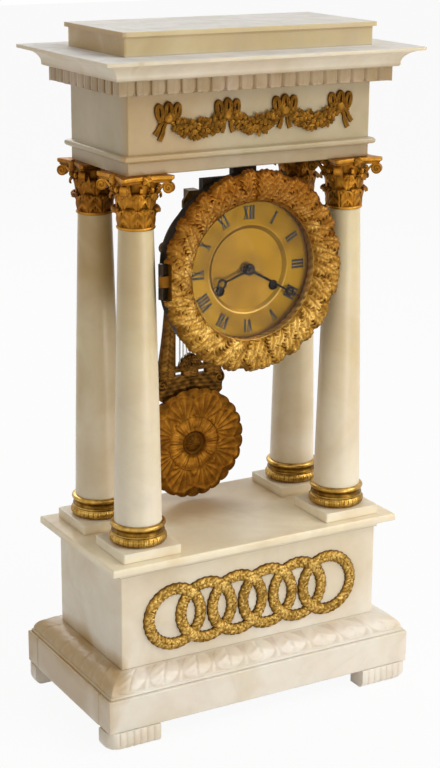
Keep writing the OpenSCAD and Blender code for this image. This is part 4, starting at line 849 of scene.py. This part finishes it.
def makeFestoon():
    f = Values(**festoon)
    rng = random.Random(f.seed)
    half = f.pitch / 2 - 1

    def sagging(s):
        return f.low + f.end - f.sag * (1 - s * s) ** 0.85

    for i in (-1, 0, 1):
        middle = f.shift + i * f.pitch
        s = linspace(-1, 1, 41)
        addBand(middle + half * s, sagging(s), 4.4 + 6 * (1 - s * s) ** 0.8, 1.5)
        for k in range(f.leaves):
            s = -0.97 + 1.94 * (k + rng.random()) / f.leaves
            slope = np.arctan2(1.7 * f.sag * s, half)
            spread = (1.6 + 3.4 * (1 - s * s) ** 0.8) * rng.uniform(-1, 1)
            place = (middle + half * s - sin(slope) * spread, sagging(s) + cos(slope) * spread,
                     0.5 + 0.6 * rng.random())
            base, lean = (0, 0.25) if s > 0 else (pi, -0.25)
            outward = slope + base + rng.uniform(-0.9, 0.9) + lean * spread
            addSmallLeaf(place, outward, rng.uniform(2.3, 3.5), rng.uniform(1.7, 2.5), rng.uniform(0.4, 0.8),
                         rng.uniform(-0.35, 0.35))
        for k in range(f.flowers):  # small flowers among the leaves
            s = -0.76 + 1.52 * k / (f.flowers - 1)
            size = rng.uniform(1.1, 1.7) * (1.15 - 0.4 * abs(s))
            addBoss(middle + half * s, sagging(s) + rng.uniform(-2.4, 2.4), f.flower, 0.14, size)
    a = linspace(-quarter, 1.5 * pi, 30)
    across = linspace(-7.6, 7.6, 15)
    for i in (-1.5, -0.5, 0.5, 1.5):
        x = f.shift + i * f.pitch
        for aside, up, lean, high, thick in f.loops:
            wide, tall = 2 * cos(a), high * sin(a)
            c, s = cos(lean), sin(lean)
            addBand(x + aside + wide * c - tall * s, f.low + up + wide * s + tall * c, 2.8, thick)
        addBand(x + across, f.low + 27 - 0.03 * across ** 2, 3.4, 1.8)
        way = 1 if i < 0 else -1
        for knots in (f.outerTails if abs(i) > 1 else f.innerTails):
            line = smoothLine(knots, 14)
            addBand(x + way * line[:, 0], f.low + line[:, 1], linspace(2.2, 3.4, 14), 1.7)
        addBoss(x, f.low + 26.6, f.knot, 0.06)
    finishPiece("swags_and_ribbon_bows", "festoonGilt", "aged_gilt", "festoon")


makeRingMount()
makeFestoon()
print("flat mounts ready")


# bezel: a fluted throat and a lip inside a broad wreath of lobed acanthus leaves

bezel = {
    "face": -43.9, "foot": 47.6, "edge": 67.5, "tip": 2.4, "turns": 1152, "rows": 54, "seed": 8,
    "hinge": (-69.2, -43.75), "strap": -63, "notch": -64.8, "notchHalf": 12.3, "back": (67, 60, 54),
    # radius and height of the fluted throat, which runs back to the dial, and of the lip over the glass
    "throat": ((50, 0), (50, -4.6), (47, -4.6), (47.3, -3), (47.9, -1.2), (48.5, -0.12)),
    "lip": ((49.4, -0.12), (49.4, 1.3), (47.5, 1.3), (47.2, 1.5), (47.2, 1.9), (47.45, 2.1)),
    "flutes": 27, "flute": 0.5,
    # rows of leaves: radius of the roots, length, width, count, lean and lift
    "leafRows": ((47.4, 12, 9.2, 40, 0.62, 0.3), (52, 12.6, 10.6, 36, 0.52, 0.08),
                 (57.6, 12.6, 12.2, 34, 0.4, -0.2)),
    # share of the way from the lip to the edge, and the height of the leaf bed there
    "crown": ((0, 1.9), (0.1, 3), (0.25, 4.3), (0.55, 5.2), (0.82, 5), (0.94, 3.6), (1, 1.3)),
    "knuckle": ((1.8, -3.8), (2, -3.6), (2, 3.6), (1.8, 3.8)),  # radius and height
}


def leafHeight(along, across, length, width, vary):
    # height of one lobed leaf that runs along from its root, with across measured from its midrib
    on = (along > 0) & (along < length)
    t = unit(along / length)
    half = width / 2 * sin(pi * (0.06 + 0.9 * t)) ** 0.75
    half = half * (1 + 0.2 * cos(tau * (4.4 * t + 0.3 * vary)))
    v = unit(abs(across) / half)
    veins = cos(tau * (4.4 * t - 1.1 * v + 0.3 * vary))
    height = 1.5 * (1 - v ** 2) ** 0.4 * (0.5 + 0.5 * sin(pi * t)) + 0.8 * t ** 2
    return np.where(on & (v < 1), height + 0.52 * veins * v - 0.6 * bump(v, 0.16), -1)


def makeBezel():
    b = Values(**bezel)
    angle = circle(b.turns)[:, None]
    ring = array(b.throat + b.lip)
    inside = np.zeros(len(ring))
    inside[2:len(b.throat)] = 1  # the throat's inner wall is fluted
    fluting = inside * abs(sin(b.flutes * angle + 0.5 * ring[:, 1]))
    q = linspace(0, 1, b.rows)[None, :]
    chance = np.random.default_rng(b.seed)
    leaves = []
    for root, length, width, count, lean, lift in b.leafRows:
        for i in range(count):
            jog = chance.uniform(-1, 1, 6)
            leaves.append((root + 0.5 * jog[0], length * (1 + 0.1 * jog[1]), width * (1 + 0.14 * jog[2]),
                           (i + 0.22 * jog[3]) * tau / count, lean + 0.25 * jog[4], lift + 0.25 * jog[5],
                           jog[1]))
    tips = np.zeros_like(angle)
    for root, length, width, turn, lean, lift, vary in leaves[-b.leafRows[-1][3]:]:
        tip = turn + length * sin(lean) / b.edge
        away = apart(angle, tip) * b.edge / (0.46 * width)
        lobed = 0.84 + 0.16 * cos(3 * pi * away)
        tips = np.maximum(tips, sqrt(unit(1 - away ** 2)) * lobed * (1 + 0.25 * vary))
    edge = b.edge + b.tip * unit(tips)
    radius = b.foot + (edge - b.foot) * q
    carving = np.full_like(radius, 0.1)
    for root, length, width, turn, lean, lift, vary in leaves:
        s, d = apart(angle, turn) * radius, radius - root
        along = d * cos(lean) + s * sin(lean)
        across = s * cos(lean) - d * sin(lean)
        across = across + 1.6 * vary * (clip(along, 0, length) / length) ** 2
        carving = np.maximum(carving, leafHeight(along, across, length, width, vary) + lift)
    crown = np.interp(q, *zip(*b.crown))
    depth = crown + carving * clip((1.03 - q) / 0.1, 0.35, 1) * clip((q + 0.04) / 0.1, 0.4, 1)
    smooth = ring[:, 0] + b.flute * fluting
    back = np.broadcast_to(b.back, (b.turns, len(b.back)))
    r = hstack((smooth, radius, back))
    h = hstack((np.broadcast_to(ring[:, 1], smooth.shape), clip(depth, 1.2, 8.4), 0 * back))
    x, z = r * sin(angle), r * cos(angle)
    x = np.where((abs(z) < b.notchHalf) & (x < b.notch), b.notch, x)
    # painted light on the throat's inner wall, less along the flutes, so the deep recess by the dial reads
    # bright
    ringPaintedLight = 0.3 + inside * (0.7 - 0.6 * fluting)
    leafRelief = clip(0.66 * carving - 0.95, -1, 1)
    # the back of the wreath gets painted shade
    relief = hstack((ringPaintedLight, leafRelief, full(back.shape, -0.8)))
    addTube(pack(x, b.face - h, dialZ + z), relief, True)
    a = circle(28)  # hinge knuckle with its strap, both given painted shade
    hx, hy = b.hinge
    addTube([pack(hx + s * cos(a), hy + s * sin(a), dialZ + t) for s, t in b.knuckle], -0.8)
    strap = ((hx, hy - 2), (hx, hy - 0.4), (b.strap, hy - 0.4), (b.strap, hy - 3.2))
    addTube([[(*place, dialZ + t) for place in strap] for t in (-3.8, 3.8)], -0.9)
    finishPiece("acanthus_bezel", "bezelGilt", "gilt_bronze", "bezel", body="bezel_door")


# numerals and edge line on the dial

numerals = {
    "radius": 39, "height": 8.6, "face": -38.52, "proud": 0.14, "thick": 1.6, "thin": 0.7, "serif": 0.28,
    "widths": {"I": 2.3, "V": 4.4, "X": 4.6}, "serifShare": 0.88,
    # where each stroke starts below and ends above, from the letter's middle
    "strokes": {"I": ((0, 0, "thick"),), "V": ((0, -1.25, "thick"), (0.3, 1.45, "thin")),
                "X": ((1.3, -1.3, "thick"), (-1.3, 1.3, "thin"))},
    "words": ("XII", "I", "II", "III", "IIII", "V", "VI", "VII", "VIII", "IX", "X", "XI"),
    "line": ((46.75, 0), (46.75, 0.12), (47.2, 0.12), (47.2, 0)),
}


def addStroke(start, end, width, hour):
    # raised stroke between two points given across and up on the numeral
    n = Values(**numerals)
    half = width / 2
    a = array([start[0] - half, start[0] + half, end[0] + half, end[0] - half])
    far = n.radius + array([start[1], start[1], end[1], end[1]])
    c, s = cos(radians(30 * hour)), sin(radians(30 * hour))
    addTube([pack(far * s + a * c, n.face - out, dialZ + far * c - a * s) for out in (0, n.proud)])


def makeDialMarks():
    n = Values(**numerals)
    h = n.height / 2
    for hour, word in enumerate(n.words):
        at = -sum(n.widths[letter] for letter in word) / 2
        for letter in word:
            w = n.widths[letter]
            m = at + w / 2
            for low, high, weight in n.strokes[letter]:
                addStroke((m + low, -h), (m + high, h), numerals[weight], hour)
            for level in ((h,) if letter == "V" else (-h, h)):
                addStroke((m, level - n.serif), (m, level + n.serif), w * n.serifShare, hour)
            at += w
    finishPiece("roman_numerals", "blackWax", "blued_steel")
    angle = circle(240)[:, None]
    r, out = array(n.line).T
    addTube(pack(r * sin(angle), n.face - out, dialZ + r * cos(angle)), closed=True)
    finishPiece("dial_edge_line", "redLine", "dial_gilt")


makeBezel()
makeDialMarks()
print("dial head ready")


# pendulum: flower bob and leafed lyre

bob = {"z": 172.8, "lobe": 1.6, "lobes": 26, "petals": 10, "shells": 8, "shellFoot": 19, "shellReach": 18.6,
       "back": 41, "front": 38.7, "turns": 832,
       "rings": ((0.4, 9.5, 14), (10.2, 20.5, 16), (21.2, 40, 28))}  # from radius, to radius, count


def makeBob():
    b = Values(**bob)
    angle = circle(b.turns)[:, None]
    r = hstack([linspace(*row) for row in b.rings])[None, :]
    ribs = abs(sin(b.lobes * angle / 2))
    inner = abs(sin(b.petals * angle / 2 + 0.3))
    crease = bump(cos(b.petals * angle / 2 + 0.3), 0.14)
    boss = 2 * sqrt(unit(1 - (r / 5.6) ** 2)) + 0.3 * cos(12 * angle) * lens(r, 1.5, 6.5)
    rim = 0.9 * bump(r - 9.6, 0.9)
    petal = (r > 9.4) * (r < 21) * (1.7 * lens(r, 8.5, 22) ** 0.7 * (0.5 + 0.5 * inner ** 0.6) - 0.4 * crease
                                    + 0.15 * cos(5 * b.petals * angle) * lens(r, 11, 21))
    # each shell fans from its own foot
    side = fraction(angle * b.shells / tau) * tau / b.shells * r
    away = np.hypot(side, r - b.shellFoot)
    spread = np.arctan2(side, r - b.shellFoot + 2)
    fan = 1.2 * lens(away, -4, b.shellReach + 3) ** 0.6 + 0.34 * cos(20 * spread) * lens(away, 1, 24)
    fan += 0.55 * bump(away - b.shellReach, 0.9) + 0.4 * ribs * unit((r - 34) / 4)
    fan *= r >= 20.4
    groove = 0.8 * bump(r - 7.4, 1)
    height = clip(0.9 + boss + rim + petal + fan - groove, 0.25, 3.7)
    wide = r + unit((r - 30) / 10) * (b.lobe * sqrt(ribs) + 0.2)
    front = pack(wide * cos(angle), b.front - height, b.z + wide * sin(angle))
    behind = front[:, -1:] * (1, 0, 1) + (0, b.back, 0)
    # painted shade in the groove round the boss and on the back
    relief = clip(0.55 * (petal + fan - 1.2) - 0.9 * groove + 0.25 * lens(r, 8, 24) - 0.05, -1, 1)
    relief = hstack((relief, full((b.turns, 1), -0.8)))
    addTube(hstack((front, behind)).transpose(1, 0, 2), relief.T)
    # the bob takes the lighter copy as painted light
    finishPiece("flower_bob", "litBobGilt", "aged_gilt", "pendulum_bob", body="pendulum")


lyre = {
    "front": 41, "back": 45.5, "unit": 1.01, "foot": 205.93, "bar": 229.93, "head": 316.5, "yoke": 6.06,
    "yokeHalf": 19, "top": 347.4, "arm": 6.46, "armX": 15.2, "flare": 3.8, "barHalf": 25,
    # holes in the foot: half width of the post between them, outer edge, lower and upper edge below the bar
    "hole": (6.7, 12.3), "holeLow": 5.7, "holeHigh": 2.9, "outerPost": 19.2,
    # scrolls: distance from the middle and radius
    "headScroll": (20, 4.2), "footScroll": (23.4, 4.8), "footScrollUp": 13,
    # half width of the leafy foot at each height above its lower edge
    "plate": ((-8, 9), (-4, 17), (0, 23.5), (3, 26.4), (8, 26.8), (12, 28.3), (15, 28.5), (18.4, 26.4)),
    # half width along the rod and along the low leaf at the foot of the strings
    "rod": ((0, 6.4), (0.2, 2.7), (1, 2.55)), "lowLeaf": ((0, 10), (0.45, 8.6), (0.8, 5.4), (1, 1)),
}


def addBar(x, z, half, carve=None, inset=0, rounded=1.5):
    # bar along a line seen from the front, with a rounded leafed face; inset keeps flat backs apart
    line = pack(x, z)
    count = len(line)
    normal = sideways(line) * np.broadcast_to(half, count)[:, None]
    u = linspace(-1, 1, 17)[None, :]
    leaf = carve(np.arange(count)[:, None], u) if carve else np.zeros((count, 17))
    face = lyre["front"] + rounded * (1 - sqrt(unit(1 - u ** 2))) - leaf
    y = hstack((face, full((count, 2), lyre["back"] - inset)))
    s = hstack((u, [[1, -1]]))
    rings = pack(line[:, :1] + normal[:, :1] * s, y, line[:, 1:] + normal[:, 1:] * s)
    # the sides and back get painted shade
    addTube(rings, hstack((1.4 * leaf, full((count, 2), -0.4))))


def addScroll(x, z, radius, way):
    # round boss with a spiral ridge on its face
    a = circle(60)[None, :]
    r = linspace(0.2, radius, 14)[:, None]
    ridge = abs(sin(pi * (r / radius * 1.7 + way * a / tau)))
    depth = lyre["front"] + 1.1 - 1.3 * ridge * unit((radius - r) / 0.8)
    rings = pack(x + r * cos(a), depth, z + r * sin(a))
    behind = rings[-1:] * (1, 0, 1) + (0, lyre["back"] - 0.2, 0)
    # the back gets painted shade
    addTube(vstack((rings, behind)), vstack((1.2 * ridge - 0.7, full((1, 60), -0.6))))


def leafy(step, s):
    tooth = step / 3 + 0.8 * abs(s) + np.where(s > 0, 0.5, 0)
    tooth = tooth - np.floor(tooth)
    return 0.5 * sin(pi * tooth ** 0.6) * sqrt(unit(1 - s * s)) - 0.25 * bump(s, 0.12)


def fanned(step, s):  # leaf ribs that spread from the middle of the foot
    ribs = 0.35 * cos(tau * (4.5 * abs(s) - step / 13)) + 0.15 * cos(step * 1.3 + 5 * abs(s))
    return ribs - 0.4 * bump(s, 0.05)


def makeLyre():
    p = Values(**lyre)
    k, bar, foot, head = p.unit, p.bar, p.foot, p.head
    t = linspace(0, 1, 70)
    flare = p.flare * (1 - t) ** 2.2
    yokeZ = head + p.yoke / 2
    for side in (-1, 1):
        addBar(side * k * (p.armX + flare), bar - 1 + (head - bar + 2) * t, p.arm / 2 + flare, leafy)
        for (out, radius), z, way in ((p.headScroll, yokeZ, side),
                                      (p.footScroll, foot + p.footScrollUp * k, -side)):
            addScroll(side * out * k, z, radius * k, way)
    addBar(linspace(-p.yokeHalf * k, p.yokeHalf * k, 50), yokeZ, p.yoke / 2, leafy, 0.35)
    rod = smoothLine([(0, head + 4), (0, head + 14), (0, p.top)], 12)
    addBar(*rod.T, np.interp(linspace(0, 1, 12), *zip(*p.rod)), None, 0.5)
    rise = linspace(p.plate[0][0], bar - p.holeLow - foot, 44)
    addBar(0, foot + rise, np.interp(rise, *zip(*p.plate)), fanned)
    barZ = bar - p.holeHigh / 2 + 0.4
    addBar(linspace(-p.barHalf, p.barHalf, 40), barZ, p.holeHigh / 2 + 0.5, leafy, 0.3, 1)
    post = linspace(bar - p.holeLow - 1.2, bar - p.holeHigh + 1, 8)
    outer = p.outerPost
    for middle, half in ((0, p.hole[0]), (-outer, outer - p.hole[1]), (outer, outer - p.hole[1])):
        addBar(middle, post, half, leafy, 0.45)
    swell = np.interp(linspace(0, 1, 24), *zip(*p.lowLeaf))
    addBar(0, linspace(bar - 1, bar + 10, 24), swell, fanned, 0.6)
    tongue = smoothLine([(0, bob["z"] - 12), (0, bob["z"] + 8), (0, foot - 6), (0, foot + 5)], 24)
    addBar(*tongue.T, linspace(5, 9.5, 24), None, 0.25)
    finishPiece("leafed_lyre", "lyreGilt", "aged_gilt", "pendulum_lyre", body="pendulum")


makeBob()
makeLyre()
print("pendulum ready")


# floor, light and background

studio = {
    "ambient": 0.34, "floorGlow": 0.93, "floorHalf": 6,
    # place in metres, power in watts, width in metres
    "lamps": {"key": ((1, -0.9, 1.3), 14.5, 1.3), "low": ((0.22, -0.75, 0.09), 2, 0.4),
              "fill": ((-1.3, -0.5, 0.6), 2.2, 0.9), "rear": ((0.2, 1.3, 1.1), 6, 0.9)},
    "aim": (0, 0, 0.24),
}


def seenDirectly():  # 1 where a ray comes from the camera, a reflection or through glass
    path = addNode("LightPath").outputs
    seen = maths("MAXIMUM", path["Is Camera Ray"], path["Is Glossy Ray"])
    return maths("MAXIMUM", seen, path["Is Transmission Ray"])


def makeStudio():
    scene.world = bpy.data.worlds.new("studio")
    scene.world.use_nodes = True
    tree = scene.world.node_tree
    bench.update(tree=tree, shader=tree.nodes["Background"])
    wire(Color=(1, 1, 1, 1), Strength=mapped(seenDirectly(), 0, 1, studio["ambient"], 1))
    mesh = bpy.data.meshes.new("floor")
    h = studio["floorHalf"]
    mesh.from_pydata([(-h, -h, 0), (h, -h, 0), (h, h, 0), (-h, h, 0)], [], [(0, 1, 2, 3)])
    floor = newObject("floor", mesh)
    speckledFinish("floor")
    glow = addNode("Emission", {"Color": (1, 1, 1, 1), "Strength": 1})
    share = maths("MULTIPLY", seenDirectly(), studio["floorGlow"])
    mixed = addNode("MixShader", {"Fac": share, 1: bench["shader"].outputs[0], 2: glow.outputs[0]})
    bench["shader"] = bench["tree"].nodes["Material Output"]
    mesh.materials.append(wire(Surface=mixed.outputs[0]))
    for name, (place, power, width) in studio["lamps"].items():
        lamp = bpy.data.lights.new(name, "AREA")
        lamp.energy, lamp.size, lamp.shape = power, width, "DISK"
        holder = newObject(name, lamp)
        holder.location = place
        holder.rotation_euler = (Vector(studio["aim"]) - Vector(place)).to_track_quat("-Z", "Y").to_euler()
    scene.view_settings.view_transform = "Standard"


makeStudio()
print("studio ready")
